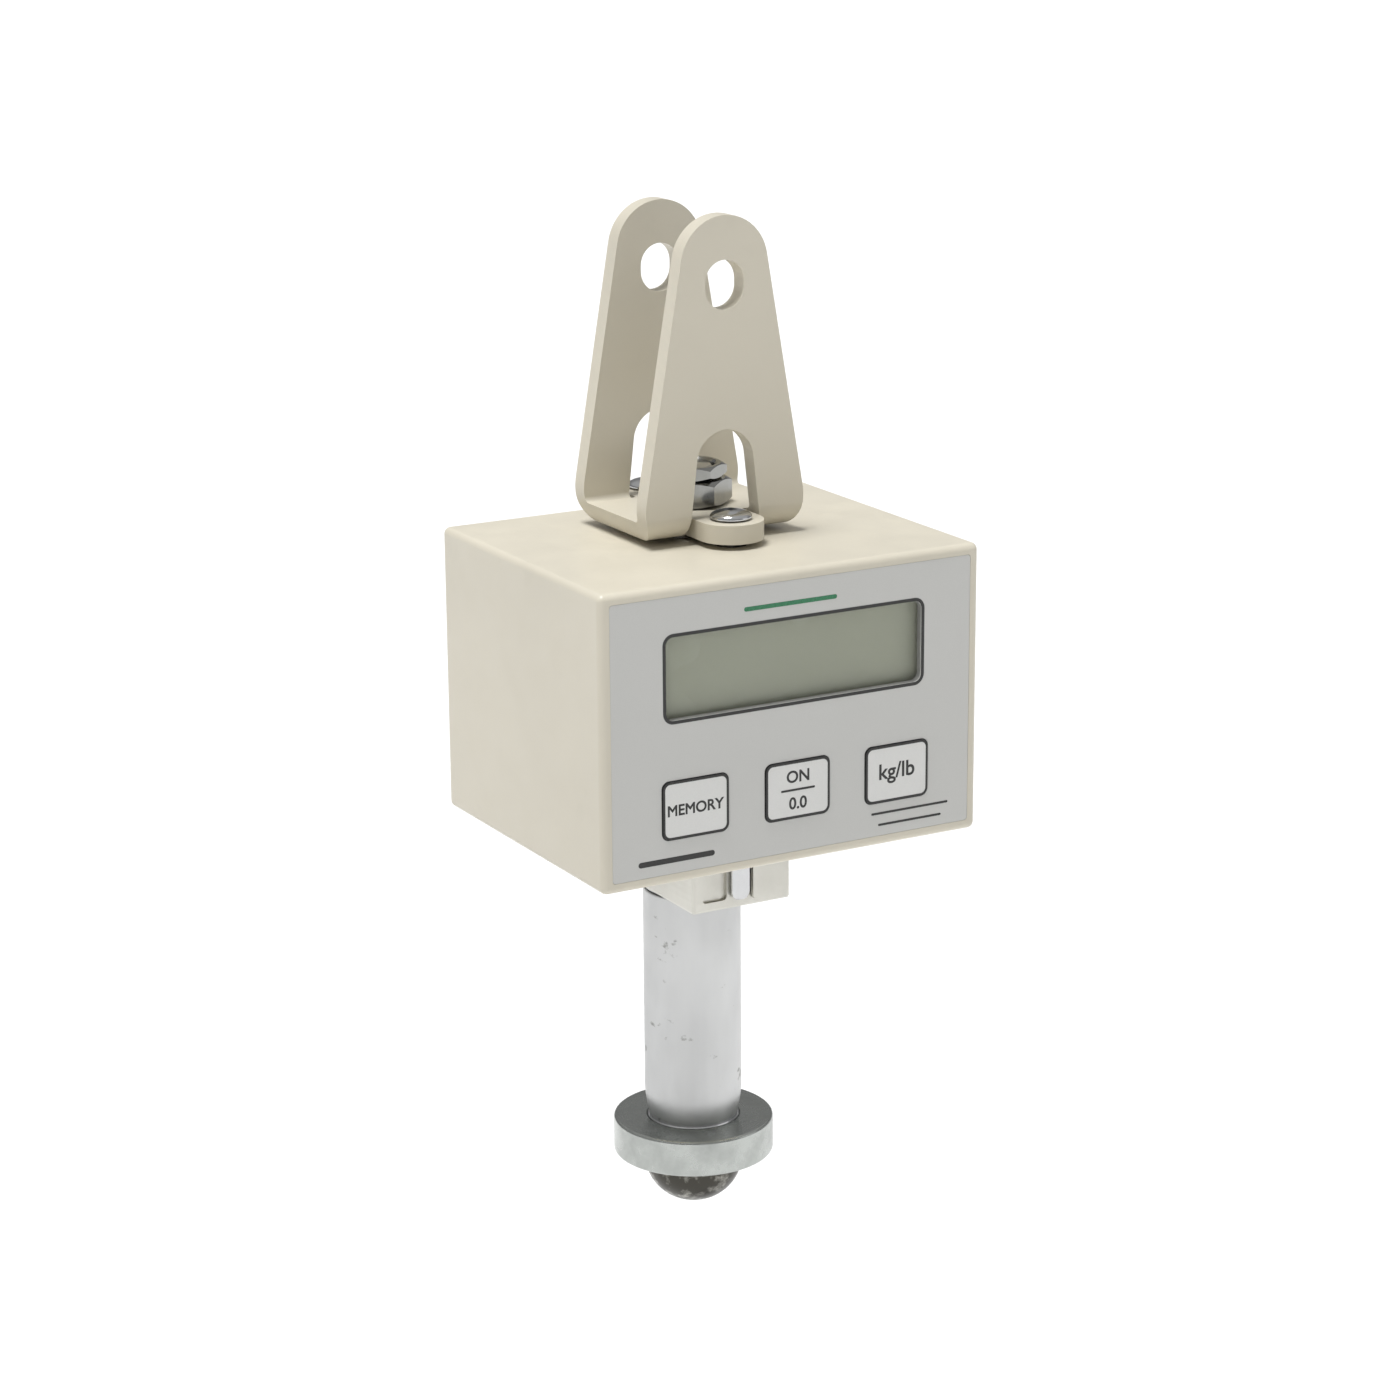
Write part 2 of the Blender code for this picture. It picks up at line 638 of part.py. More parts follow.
def case_shell():
    """The folded and welded case, open at the rear, with lugs for the rear cover."""
    half = CASE_WIDTH / 2
    made = block("case_shell", (-half, CASE_FRONT, CASE_BOTTOM), (half, CASE_REAR, CASE_TOP),
                 beige_paint())
    bevelled(made, CASE_EDGE, 2)
    inner = half - CASE_WALL
    cut(made, block("case_hollow", (-inner, CASE_FRONT + CASE_WALL, CASE_BOTTOM + CASE_WALL),
                    (inner, CASE_REAR + 0.005, CASE_TOP - CASE_WALL)))
    for number, (x, z) in enumerate(cover_corners()):
        lug_rear = CASE_REAR - COVER_THICK - GAP
        lug_front = lug_rear - LUG_DEPTH
        outward_x = LUG_REACH if x > 0 else -LUG_REACH
        outward_z = LUG_REACH if z > (CASE_TOP + CASE_BOTTOM) / 2 else -LUG_REACH
        u = sorted((x - 0.8 * outward_x, x + outward_x))
        w = sorted((z - 0.8 * outward_z, z + outward_z))
        lug = block(f"cover_lug_{number}", (u[0], lug_front, w[0]), (u[1], lug_rear, w[1]))
        combine(made, lug, "UNION")
        cut(made, rod_cutter(f"lug_cutter_{number}", "Y", (x, z), COVER_SCREW_RADIUS + GAP,
                             lug_front + 0.001, lug_rear + 0.002, 16))
    pocket = soft_rectangle(*overlay_rectangle(GAP), OVERLAY_CORNER)
    cut(made, prism("overlay_pocket", pocket, "Y", CASE_FRONT - 0.002, CASE_FRONT + POCKET_DEPTH))
    deep = CASE_FRONT + CASE_WALL + 0.002
    window = soft_rectangle(*window_rectangle(0.0002), SOFT_CORNER)
    cut(made, prism("window_cutter", window, "Y", CASE_FRONT - 0.001, deep))
    for index in range(3):
        hole = soft_rectangle(*key_rectangle(index, GAP), SOFT_CORNER)
        cut(made, prism(f"key_cutter_{index}", hole, "Y", CASE_FRONT - 0.001, deep))
    through = {"top": (CASE_TOP - 0.004, CASE_TOP + 0.002),
               "bottom": (CASE_BOTTOM - 0.002, CASE_BOTTOM + 0.004)}
    openings = (("top", SPACER_HALF_X + GAP, SPACER_HALF_Y + GAP),
                ("bottom", CELL_WIDTH / 2 + CELL_ROOM, CELL_DEPTH / 2 + CELL_ROOM))
    for which, x, y in openings:
        outline = soft_rectangle((-x, -y), (x, y), 0.0020)
        cut(made, prism(f"cell_opening_{which}", outline, "Z", *through[which]))
    for which, y in (("front", -TAB_SCREW), ("rear", TAB_SCREW)):
        cut(made, rod_cutter(f"tab_opening_{which}", "Z", (0, y), TAB_SPACER_RADIUS + GAP,
                             *through["top"]))
    return made


def front_overlay():
    back = CASE_FRONT + OVERLAY_INSET + OVERLAY_THICK
    outline = soft_rectangle(*overlay_rectangle(), OVERLAY_CORNER)
    made = prism("front_overlay", outline, "Y", CASE_FRONT + OVERLAY_INSET, back, label_film())
    window = soft_rectangle(*window_rectangle(), SOFT_CORNER)
    cut(made, prism("overlay_window", window, "Y", CASE_FRONT - 0.002, CASE_FRONT + 0.002))
    for index in range(3):
        hole = soft_rectangle(*key_rectangle(index, GAP), SOFT_CORNER)
        cut(made, prism(f"overlay_key_{index}", hole, "Y", CASE_FRONT - 0.002, CASE_FRONT + 0.002))
    return made


def keys():
    for index, name in enumerate(("key_recall", "key_zero", "key_unit")):
        low, high = key_rectangle(index)
        middle = ((low[0] + high[0]) / 2, (low[1] + high[1]) / 2)
        outline = soft_rectangle((low[0] - middle[0], low[1] - middle[1]),
                                 (high[0] - middle[0], high[1] - middle[1]), SOFT_CORNER)
        made = prism(name, outline, "Y", 0, KEY_BACK - CASE_FRONT + KEY_PROUD, key_film())
        made.location = (middle[0], CASE_FRONT - KEY_PROUD, middle[1])


def display():
    """Lens behind the window, then the display glass in its metal frame."""
    lens_front = CASE_FRONT + CASE_WALL + GAP
    lens = soft_rectangle(*window_rectangle(0.0022), 0.0010, 2)
    lens_back = lens_front + LENS_THICK
    prism("display_lens", lens, "Y", lens_front, lens_back, clear_lens())
    glass_front = lens_back + GAP
    glass_back = glass_front + 0.0022
    glass = soft_rectangle(*window_rectangle(0.0012), 0.0005, 2)
    prism("display_glass", glass, "Y", glass_front, glass_back, display_glass())
    frame = soft_rectangle(*window_rectangle(0.0030), 0.0010, 2)
    made = prism("display_frame", frame, "Y", glass_front, BOARD_FRONT - GAP, black_plastic())
    room = soft_rectangle(*window_rectangle(0.0012 + GAP), 0.0005, 2)
    return cut(made, prism("frame_room", room, "Y", glass_front - 0.002, glass_back + GAP))


# ---- electronics ------------------------------------------------------------------
def main_board():
    half = BOARD_WIDTH / 2
    middle = (CASE_TOP + CASE_BOTTOM) / 2
    outline = soft_rectangle((-half, middle - BOARD_HEIGHT / 2), (half, middle + BOARD_HEIGHT / 2),
                             0.0020, 3)
    made = prism("main_board", outline, "Y", BOARD_FRONT, BOARD_FRONT + BOARD_THICK,
                 circuit_board())
    for number, corner in enumerate(board_corners()):
        cut(made, rod_cutter(f"board_cutter_{number}", "Y", corner, 0.0015 + GAP,
                             BOARD_FRONT - 0.002, BOARD_FRONT + 0.004, 16))
    return made


def along_y(made, x, y, z):
    """Lays a piece that was turned upright so that its top points to -Y at a place."""
    made.rotation_euler = (pi / 2, 0, 0)
    made.location = (x, y, z)


def board_studs():
    """Studs welded behind the case's front wall: a shoulder, then a pin through the board."""
    wall = CASE_FRONT + CASE_WALL + GAP
    shoulder = BOARD_FRONT - GAP - wall
    pin = shoulder + BOARD_THICK + 0.0022
    for number, (x, z) in enumerate(board_corners()):
        profile = [(0, 0), (0.0025, 0), (0.0025, -shoulder), (0.0014, -shoulder),
                   (0.0014, -pin), (0, -pin)]
        along_y(turned(f"board_stud_{number + 1}", profile, nickel_plate(), 12), x, wall, z)


def key_switches():
    """A square switch behind each key, its plunger just short of the key."""
    half = 0.0030
    for index, name in enumerate(("recall", "zero", "unit")):
        low, high = key_rectangle(index)
        x = (low[0] + high[0]) / 2
        z = (low[1] + high[1]) / 2
        back = BOARD_FRONT - GAP
        front = back - 0.0032
        body = block(f"switch_{name}", (x - half, front, z - half), (x + half, back, z + half),
                     black_plastic())
        tip = KEY_BACK + 0.0008
        plunger = rod_cutter(f"plunger_{name}", "Y", (x, z), 0.0016, tip, front + 0.001, 16)
        combine(body, plunger, "UNION")


def chips():
    back = BOARD_FRONT + BOARD_THICK + GAP
    places = (("display_chip", 0.030, 0.0060, 0.0016), ("converter_chip", -0.034, 0.0040, 0.0016),
              ("lead_socket", -0.020, 0.0040, 0.0050), ("power_socket", 0.012, 0.0035, 0.0050))
    for name, x, half, thick in places:
        z = CASE_TOP - 0.0200
        made = block(name, (x - half, back, z - half), (x + half, back + thick, z + half),
                     black_plastic())
        bevelled(made, 0.0003, 1)


def smooth_route(points, each=4):
    """A Catmull-Rom curve through the route's own points."""
    spots = [Vector(p) for p in points]
    ends = [2 * spots[0] - spots[1], *spots, 2 * spots[-1] - spots[-2]]
    route = []
    for a, b, c, d in zip(ends, ends[1:], ends[2:], ends[3:]):
        for step in range(each):
            t = step / each
            route.append(0.5 * (2 * b + (c - a) * t + (2 * a - 5 * b + 4 * c - d) * t ** 2
                                + (3 * b - a - 3 * c + d) * t ** 3))
    return [*route, spots[-1]]


def lead(name, points, radius, surface):
    curve = bpy.data.curves.new(name, "CURVE")
    curve.dimensions = "3D"
    route = smooth_route(points)
    spline = curve.splines.new("POLY")
    spline.points.add(len(route) - 1)
    for point, place in zip(spline.points, route):
        point.co = (*place, 1.0)
    curve.bevel_depth = radius
    curve.bevel_resolution = 2
    curve.use_fill_caps = True
    curve.materials.append(surface)
    made = bpy.data.objects.new(name, curve)
    bpy.context.scene.collection.objects.link(made)


def leads():
    """Gauge lead from the cell's left cover to the board, and power lead from the tray."""
    socket = BOARD_FRONT + BOARD_THICK + GAP + 0.0050 + GAP
    middle = (CELL_TOP + CELL_BOTTOM) / 2
    start = -(CELL_WIDTH / 2 + 2 * GAP + 0.0010)
    radius = 0.0012
    lead("gauge_lead", [
        (start, 0, middle), (start - 0.006, -0.0005, middle), (-0.0215, -0.006, middle + 0.004),
        (-0.0225, -0.016, middle + 0.014), (-0.0205, -0.0245, CASE_TOP - 0.0215),
        (-0.0200, -0.031, CASE_TOP - 0.0200), (-0.0200, socket, CASE_TOP - 0.0200)],
        radius, cable_jacket())
    tray = tray_box()
    lead("power_lead", [
        (0.0260, tray[0][1] - GAP, CASE_TOP - 0.0240), (0.0255, -0.0245, CASE_TOP - 0.0235),
        (0.0200, -0.0290, CASE_TOP - 0.0215), (0.0140, -0.0310, CASE_TOP - 0.0202),
        (0.0120, -0.0335, CASE_TOP - 0.0200), (0.0120, socket, CASE_TOP - 0.0200)],
        radius, cable_jacket())


# ---- batteries --------------------------------------------------------------------
def tray_box():
    low = (0.0168, -0.0190, CASE_BOTTOM + CASE_WALL + GAP)
    width = 4 * BATTERY_RADIUS + 2 * TRAY_WALL + 0.0016
    height = CELL_LENGTH + 2 * TRAY_WALL + 0.0020
    return low, (low[0] + width, low[1] + width, low[2] + height)


def battery_tray():
    low, high = tray_box()
    made = block("battery_tray", low, high, black_plastic())
    inside_low = tuple(value + TRAY_WALL for value in low)
    inside_high = (high[0] - TRAY_WALL, high[1] + 0.005, high[2] - TRAY_WALL)
    return cut(made, block("tray_hollow", inside_low, inside_high))


def batteries():
    low, _ = tray_box()
    bottom = low[2] + TRAY_WALL + 0.0006
    button = 0.0016
    top = bottom + CELL_LENGTH - button
    profile = [(0, top + button), (0.0025, top + button), (0.0025, top), (BATTERY_RADIUS - 0.0006, top),
               (BATTERY_RADIUS, top - 0.0006), (BATTERY_RADIUS, bottom + 0.0006),
               (BATTERY_RADIUS - 0.0006, bottom), (0, bottom)]
    for number in range(4):
        x = low[0] + TRAY_WALL + 0.0004 + BATTERY_RADIUS * (1 + 2 * (number % 2)) + GAP * (number % 2)
        y = low[1] + TRAY_WALL + 0.0004 + BATTERY_RADIUS * (1 + 2 * (number // 2)) + GAP * (number // 2)
        turned(f"battery_{number + 1}", profile, battery_wrap(), SMALL_ROUND, (x, y))


# ---- case brackets and rear cover -------------------------------------------------
def cell_brackets():
    """Angle brackets that hang the case on the cell's upper half, with their screws."""
    thick = 0.0016
    for name, side in (("left", -1), ("right", 1)):
        face = CELL_WIDTH / 2 + GAP
        top = CASE_TOP - CASE_WALL - GAP
        outline = [(face, top), (face + 0.0100, top), (face + 0.0100, top - thick),
                   (face + thick, top - thick), (face + thick, top - 0.0150), (face, top - 0.0150)]
        outline = [(side * x, z) for x, z in outline]
        made = prism(f"case_bracket_{name}", outline, "Y", -0.0090, 0.0090, nickel_plate())
        height = top - 0.0095
        cut(made, rod_cutter(f"bracket_cutter_{name}", "X", (0, height), 0.0020 + GAP,
                             *sorted((side * (face - 0.002), side * (face + 0.004))), 16))
        seat = face + thick + GAP
        profile = [(0, seat + 0.0020), (0.0026, seat + 0.0020), (0.0034, seat + 0.0012),
                   (0.0034, seat), (0.0020, seat), (0.0020, face + GAP), (0, face + GAP)]
        screw = turned(f"bracket_screw_{name}", profile, zinc(), 16)
        screw.rotation_euler = (0, side * pi / 2, 0)
        screw.location = (0, 0, height)


def rear_cover():
    half = CASE_WIDTH / 2 - CASE_WALL - GAP
    low = (-half, CASE_BOTTOM + CASE_WALL + GAP)
    high = (half, CASE_TOP - CASE_WALL - GAP)
    outline = soft_rectangle(low, high, 0.0006, 2)
    made = prism("rear_cover", outline, "Y", CASE_REAR - COVER_THICK, CASE_REAR, beige_paint())
    for number, corner in enumerate(cover_corners()):
        cut(made, rod_cutter(f"cover_cutter_{number}", "Y", corner, COVER_SCREW_RADIUS + GAP,
                             CASE_REAR - 0.004, CASE_REAR + 0.002, 16))
    return made


def rear_cover_screws():
    for number, (x, z) in enumerate(cover_corners()):
        profile = [(0, 0.0018), (0.0016, 0.0017), (0.0026, 0.0012), (0.0030, 0.0004), (0.0030, 0),
                   (COVER_SCREW_RADIUS, 0), (COVER_SCREW_RADIUS, -0.0085), (0, -0.0085)]
        made = turned(f"rear_cover_screw_{number + 1}", profile, zinc(), 16)
        made.rotation_euler = (-pi / 2, 0, 0)
        made.location = (x, CASE_REAR + GAP, z)


def build():
    clear_scene()
    clevis_bracket()
    clevis_screws()
    hanger_stud()
    stud_nuts()
    clevis_spacers()
    load_cell()
    gauge_covers()
    cell_end_fittings()
    spindle_sleeve()
    spindle_rings()
    swivel_bolt()
    case_shell()
    front_overlay()
    keys()
    display()
    main_board()
    board_studs()
    key_switches()
    chips()
    leads()
    battery_tray()
    batteries()
    cell_brackets()
    rear_cover()
    rear_cover_screws()


build()
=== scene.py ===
"""Looks of the hanging crane scale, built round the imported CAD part.
Units are metres, +Z is up and the display faces -Y. The clevis pin is the origin."""

import json
from math import asin, atan2, cos, hypot, pi, radians, sin

import bmesh
import bpy
from mathutils import Matrix, Vector


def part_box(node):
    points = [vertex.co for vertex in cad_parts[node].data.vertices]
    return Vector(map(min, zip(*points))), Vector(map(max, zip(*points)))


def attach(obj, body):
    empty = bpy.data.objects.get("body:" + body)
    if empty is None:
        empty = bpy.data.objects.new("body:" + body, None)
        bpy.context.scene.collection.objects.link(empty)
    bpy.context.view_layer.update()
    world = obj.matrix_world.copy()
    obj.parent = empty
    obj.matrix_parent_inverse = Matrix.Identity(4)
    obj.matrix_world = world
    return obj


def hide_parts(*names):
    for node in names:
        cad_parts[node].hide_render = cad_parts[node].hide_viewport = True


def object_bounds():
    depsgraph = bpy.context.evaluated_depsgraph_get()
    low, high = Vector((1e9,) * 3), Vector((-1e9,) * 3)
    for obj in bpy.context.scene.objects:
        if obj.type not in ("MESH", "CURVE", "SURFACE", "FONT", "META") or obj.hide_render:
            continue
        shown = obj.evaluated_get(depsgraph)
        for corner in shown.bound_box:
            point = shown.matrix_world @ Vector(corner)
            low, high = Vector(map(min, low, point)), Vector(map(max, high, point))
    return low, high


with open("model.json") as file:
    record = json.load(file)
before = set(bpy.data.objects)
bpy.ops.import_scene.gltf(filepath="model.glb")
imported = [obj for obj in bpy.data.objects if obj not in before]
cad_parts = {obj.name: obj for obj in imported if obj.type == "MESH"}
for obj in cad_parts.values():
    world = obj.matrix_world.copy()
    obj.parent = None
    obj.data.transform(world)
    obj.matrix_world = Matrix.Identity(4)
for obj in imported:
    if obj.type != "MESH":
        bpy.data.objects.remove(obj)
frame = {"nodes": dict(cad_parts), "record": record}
cad_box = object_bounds()

# ---- camera -----------------------------------------------------------------------
VIEW_AZIMUTH = radians(-29.319)
VIEW_ELEVATION = radians(15.758)
VIEW_ROLL = radians(-0.396)
VIEW_DISTANCE = 0.91863
VIEW_RIGHT = 0.00250         # how far the aim lies to the right of the load line
AIM_BELOW_CASE_TOP = 0.04535
LENS = 92.44
SENSOR = 36.0

# ---- case and front ---------------------------------------------------------------
CASE_WALL = 0.0016
CASE_EDGE = 0.0018
GAP = 0.0003
OVERCUT = 0.001              # how far a cutting shape runs past what it cuts
SOFT_CORNER = 0.0020
OVERLAY_CORNER = 0.0008
FILM_GAP = 0.00006           # seam round the film
FILM_THICK = 0.0004
FILM_INSET = 0.00005
INK = 0.00003                # height of printed lines
WINDOW_LINE = 0.00085
KEY_LINE = 0.00056
KEY_FRAME_SHADE_DEPTH = 0.0010     # the frame also wraps the key's edge, as painted shade in the seam
LETTER_BOLD = 0.00010        # how far printed strokes are fattened
MEMORY_SIZE = 0.0038         # text sizes of the keys' legends
ZERO_SIZE = 0.0042
UNIT_SIZE = 0.0056
ZERO_LINE_OFFSET = 0.0034    # the two words of the middle key stand this far from its bar
ZERO_BAR = (0.0096, 0.00056)         # width and height, as for the rules below
GREEN_RULE = (0.0260, 0.0011)
GREEN_RULE_AT = (0.0345, 0.0042)     # from the window's upper left corner
SHORT_RULE = (0.0210, 0.0014)
SHORT_RULE_AT = (-0.0330, 0.0062)    # Z counts from the case's underside, here and below
NOTE_UPPER = (0.0225, 0.0006)
NOTE_UPPER_AT = (0.0334, 0.0085)
NOTE_LOWER = (0.0185, 0.0006)
NOTE_LOWER_AT = (0.0334, 0.0055)
WINDOW_LINER = (0.00015, -0.00005)   # outer and inner margin round the opening
# painted shade: a black ring filling the seam round each key; outer and inner margin round the key
KEY_SEAM_SHADE = (0.00029, 0.00006)
SEAM_SHADE_INSET = 0.00008         # below the film's face
SEAM_SHADE_DEPTH = 0.0008          # behind the film
LUG_REACH = 0.0054           # from a cover screw to the outer sides of its lug
LUG_DEPTH = 0.010
COVER_HOLE_RADIUS = 0.0019
COVER_SCREWS = range(1, 5)
CELL_OPENING_ROOM = 0.0024   # room round the load cell where it leaves the case
OPENING_CORNER = 0.0020      # of the openings for the load cell and the clevis spacer

# ---- clevis -----------------------------------------------------------------------
PLATE = 0.0048
EAR_REACH = 0.0187
EAR_BEND = 0.0062
EAR_TIP_RADIUS = 0.0122
EAR_HIP = 0.0222
EAR_HIP_DROP = 0.0520
EAR_HIP_RADIUS = 0.0140
PIN_HOLE_RADIUS = 0.0054
PIN_HOLE_STRETCH = 0.0007
ARCH_RISE = 0.0282           # arch top above the case
ARCH_RADIUS = 0.0080
ARCH_FOOT = 0.0104
TAB_RADIUS = 0.0082
TAB_SCREW_RADIUS = 0.0030
TAB_SOCKET_TURN = 0.2        # radians
CLEVIS_EDGE = 0.00045        # softening of the plate's cut edges
PAST_CLEVIS = 0.03           # in front of the clevis and behind it

# ---- turned pieces ----------------------------------------------------------------
STUD_RADIUS = 0.00635
THREAD_PITCH = 0.00127
THREAD_DEPTH = 0.0006
NUT_FLATS = {"stud_nut_lower": 0.01905, "stud_nut_upper": 0.0168}
NUT_TURNS = {"stud_nut_lower": radians(-23.7), "stud_nut_upper": radians(-25.0)}
NUT_SINK = 0.0006            # countersink of the nuts' bores
DOME_DROP = 0.0122
DOME_SHOULDER = 0.0005       # straight rim above the bolt's dome
BOLT_SOCKET_FLATS = 0.0080
BOLT_SOCKET_DEPTH = 0.0055
SPINDLE_TAPER = 0.0082
SPINDLE_END_RADIUS = 0.0114
SEAT_RADIUS = 0.0121
SEAT_DEPTH = 0.0004
BORE_RADIUS = STUD_RADIUS + GAP
FINE = 96                    # sides of a large turned piece
MEDIUM = 64


case_low, case_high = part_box("case_shell")
clevis_low, clevis_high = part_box("clevis_bracket")


# ---- materials --------------------------------------------------------------------
class Surface:
    """A material under construction: one Principled shader fed by procedural nodes."""

    def __init__(self, name, **constants):
        self.material = bpy.data.materials.new(name)
        self.material.use_nodes = True
        self.tree = self.material.node_tree
        self.shader = self.tree.nodes["Principled BSDF"]
        for socket, value in constants.items():
            self.shader.inputs[socket.replace("_", " ")].default_value = value
        self.place = self.add("ShaderNodeTexCoord").outputs["Object"]

    def add(self, kind, inputs=None, **settings):
        node = self.tree.nodes.new(kind)
        for name, value in settings.items():
            setattr(node, name, value)
        for socket, value in (inputs or {}).items():
            self.feed(node.inputs[socket], value)
        return node

    def feed(self, socket, value):
        if isinstance(value, bpy.types.NodeSocket):
            self.tree.links.new(value, socket)
        else:
            socket.default_value = value

    def noise(self, scale, detail=2.0, stretch=(1, 1, 1), roughness=0.5):
        spread = self.add("ShaderNodeMapping", {"Vector": self.place, "Scale": stretch})
        made = self.add("ShaderNodeTexNoise", {"Vector": spread.outputs["Vector"], "Scale": scale,
                                               "Detail": detail, "Roughness": roughness})
        return made.outputs["Fac"]

    def band(self, value, start, end, low=0.0, high=1.0):
        """Maps start..end of a value onto low..high, clamped."""
        return self.add("ShaderNodeMapRange", {"Value": value, "From Min": start, "From Max": end,
                                               "To Min": low, "To Max": high}).outputs["Result"]

    def mixed(self, share, first, second):
        node = self.add("ShaderNodeMix", data_type="RGBA")
        self.feed(node.inputs[0], share)
        for index, colour in ((6, first), (7, second)):
            self.feed(node.inputs[index], colour if isinstance(colour, bpy.types.NodeSocket)
                      else (*colour, 1.0))
        return node.outputs[2]

    def sum(self, first, second, operation="ADD"):
        node = self.add("ShaderNodeMath", operation=operation)
        self.feed(node.inputs[0], first)
        self.feed(node.inputs[1], second)
        return node.outputs[0]

    def radius(self):
        """Distance from the load line, for marks that run round a turned piece."""
        flat = self.add("ShaderNodeMapping", {"Vector": self.place, "Scale": (1, 1, 0)})
        return self.add("ShaderNodeVectorMath", {0: flat.outputs["Vector"]},
                        operation="LENGTH").outputs["Value"]

    def colour(self, value):
        self.feed(self.shader.inputs["Base Color"], value)
        return self

    def rough(self, value):
        self.feed(self.shader.inputs["Roughness"], value)
        return self

    def bump(self, height, distance, strength=1.0):
        inputs = {"Height": height, "Distance": distance, "Strength": strength}
        before = self.shader.inputs["Normal"]
        if before.is_linked:
            inputs["Normal"] = before.links[0].from_socket
        node = self.add("ShaderNodeBump", inputs)
        self.feed(before, node.outputs["Normal"])
        return self


def scaled(colour, factor):
    return tuple(channel * factor for channel in colour)


def beige_paint():
    """Stove enamel: a faint orange peel, slow tone changes and a few rubbed places."""
    base = (0.630, 0.590, 0.490)
    made = Surface("beige_paint", Specular_IOR_Level=0.45)
    slow = made.band(made.noise(16, 3), 0.35, 0.65)
    tone = made.mixed(slow, scaled(base, 0.965), scaled(base, 1.02))
    rubbed = made.band(made.noise(55, 6, roughness=0.6), 0.60, 0.72, 0.0, 0.35)
    made.colour(made.mixed(rubbed, tone, scaled(base, 0.90)))
    made.rough(made.band(made.noise(120, 3), 0.3, 0.7, 0.30, 0.42))
    made.bump(made.noise(620, 2), 0.00006, 0.35)
    made.bump(made.noise(2600, 1), 0.00001, 0.3)
    return made.material


def zinc(name="bright_zinc", base=(0.60, 0.605, 0.61)):
    """Bright zinc plate: drawn streaks, dull bloom, a few stains and small dents."""
    made = Surface(name, Metallic=1.0)
    drawn = made.noise(150, 4, (1.0, 1.0, 0.05), 0.6)
    bloom = made.band(made.noise(70, 5, (1, 1, 0.5), 0.65), 0.42, 0.66)
    tone = made.mixed(bloom, base, scaled(base, 0.86))
    lined = made.mixed(made.band(drawn, 0.35, 0.65, 0.0, 0.7), tone, scaled(base, 0.93))
    stain = made.band(made.noise(210, 5, roughness=0.7), 0.67, 0.74, 0.0, 0.6)
    made.colour(made.mixed(stain, lined, (0.30, 0.29, 0.26)))
    streaks = made.band(drawn, 0.3, 0.7, -0.03, 0.05)
    made.rough(made.sum(made.band(bloom, 0, 1, 0.13, 0.24), streaks))
    made.bump(drawn, 0.00004, 0.3)
    made.bump(made.noise(420, 3), 0.00004, 0.3)
    return made.material


def galvanised():
    """The sleeve's dull galvanised skin: soft upright bands, grey bloom and a few scuffs."""
    made = Surface("galvanised", Metallic=1.0)
    upright = made.band(made.noise(95, 3, (1.0, 1.0, 0.06)), 0.35, 0.65)
    cloudy = made.band(made.noise(48, 4, (1, 1, 0.5), 0.55), 0.36, 0.64)
    tone = made.mixed(upright, (0.546, 0.551, 0.551), (0.604, 0.609, 0.607))
    tone = made.mixed(made.band(cloudy, 0, 1, 0.0, 0.55), tone, (0.640, 0.645, 0.642))
    scuffs = made.noise(150, 4, (1, 1, 1.6), 0.62)
    made.colour(made.mixed(made.band(scuffs, 0.645, 0.70, 0.0, 0.75), tone, (0.25, 0.25, 0.235)))
    made.rough(made.sum(made.band(cloudy, 0, 1, 0.50, 0.38), made.band(upright, 0, 1, -0.03, 0.03)))
    made.bump(scuffs, 0.00008, 0.25)
    made.bump(made.noise(1400, 3), 0.00002, 0.25)
    return made.material


def polished_steel():
    """Turned and polished: very fine rings, a few handling scratches."""
    made = Surface("polished_steel", Metallic=1.0)
    radius = made.radius()
    rings = made.add("ShaderNodeTexNoise", {"W": radius, "Scale": 5200.0, "Detail": 3.0},
                     noise_dimensions="1D").outputs["Fac"]
    worn = made.band(made.noise(90, 5, roughness=0.65), 0.40, 0.68)
    made.colour(made.mixed(worn, (0.465, 0.485, 0.465), (0.37, 0.385, 0.37)))
    made.rough(made.sum(made.band(worn, 0, 1, 0.22, 0.38), made.band(rings, 0.3, 0.7, -0.03, 0.05)))
    made.bump(rings, 0.00002, 0.22)
    made.bump(made.noise(900, 4, roughness=0.7), 0.00003, 0.2)
    return made.material


def dark_steel():
    """Oiled black steel, brighter where it has been rubbed."""
    made = Surface("dark_steel", Metallic=1.0)
    radius = made.radius()
    rings = made.add("ShaderNodeTexNoise", {"W": radius, "Scale": 4200.0, "Detail": 2.0},
                     noise_dimensions="1D").outputs["Fac"]
    rubbed = made.band(made.noise(160, 5, roughness=0.65), 0.48, 0.66)
    made.colour(made.mixed(rubbed, (0.063, 0.060, 0.052), (0.36, 0.355, 0.32)))
    made.rough(made.band(rubbed, 0, 1, 0.34, 0.20))
    made.bump(rings, 0.00002, 0.25)
    made.bump(made.noise(1300, 3), 0.00003, 0.3)
    return made.material


def nickel_plate():
    """Satin nickel over machined aluminium, with a fine milled lay."""
    made = Surface("nickel_plate", Metallic=1.0)
    lay = made.noise(900, 3, (1.0, 0.04, 1.0), 0.6)
    slow = made.band(made.noise(60, 4), 0.35, 0.65)
    made.colour(made.mixed(slow, (0.62, 0.61, 0.56), (0.54, 0.53, 0.485)))
    made.rough(made.band(lay, 0.3, 0.7, 0.30, 0.44))
    made.bump(lay, 0.00002, 0.3)
    return made.material


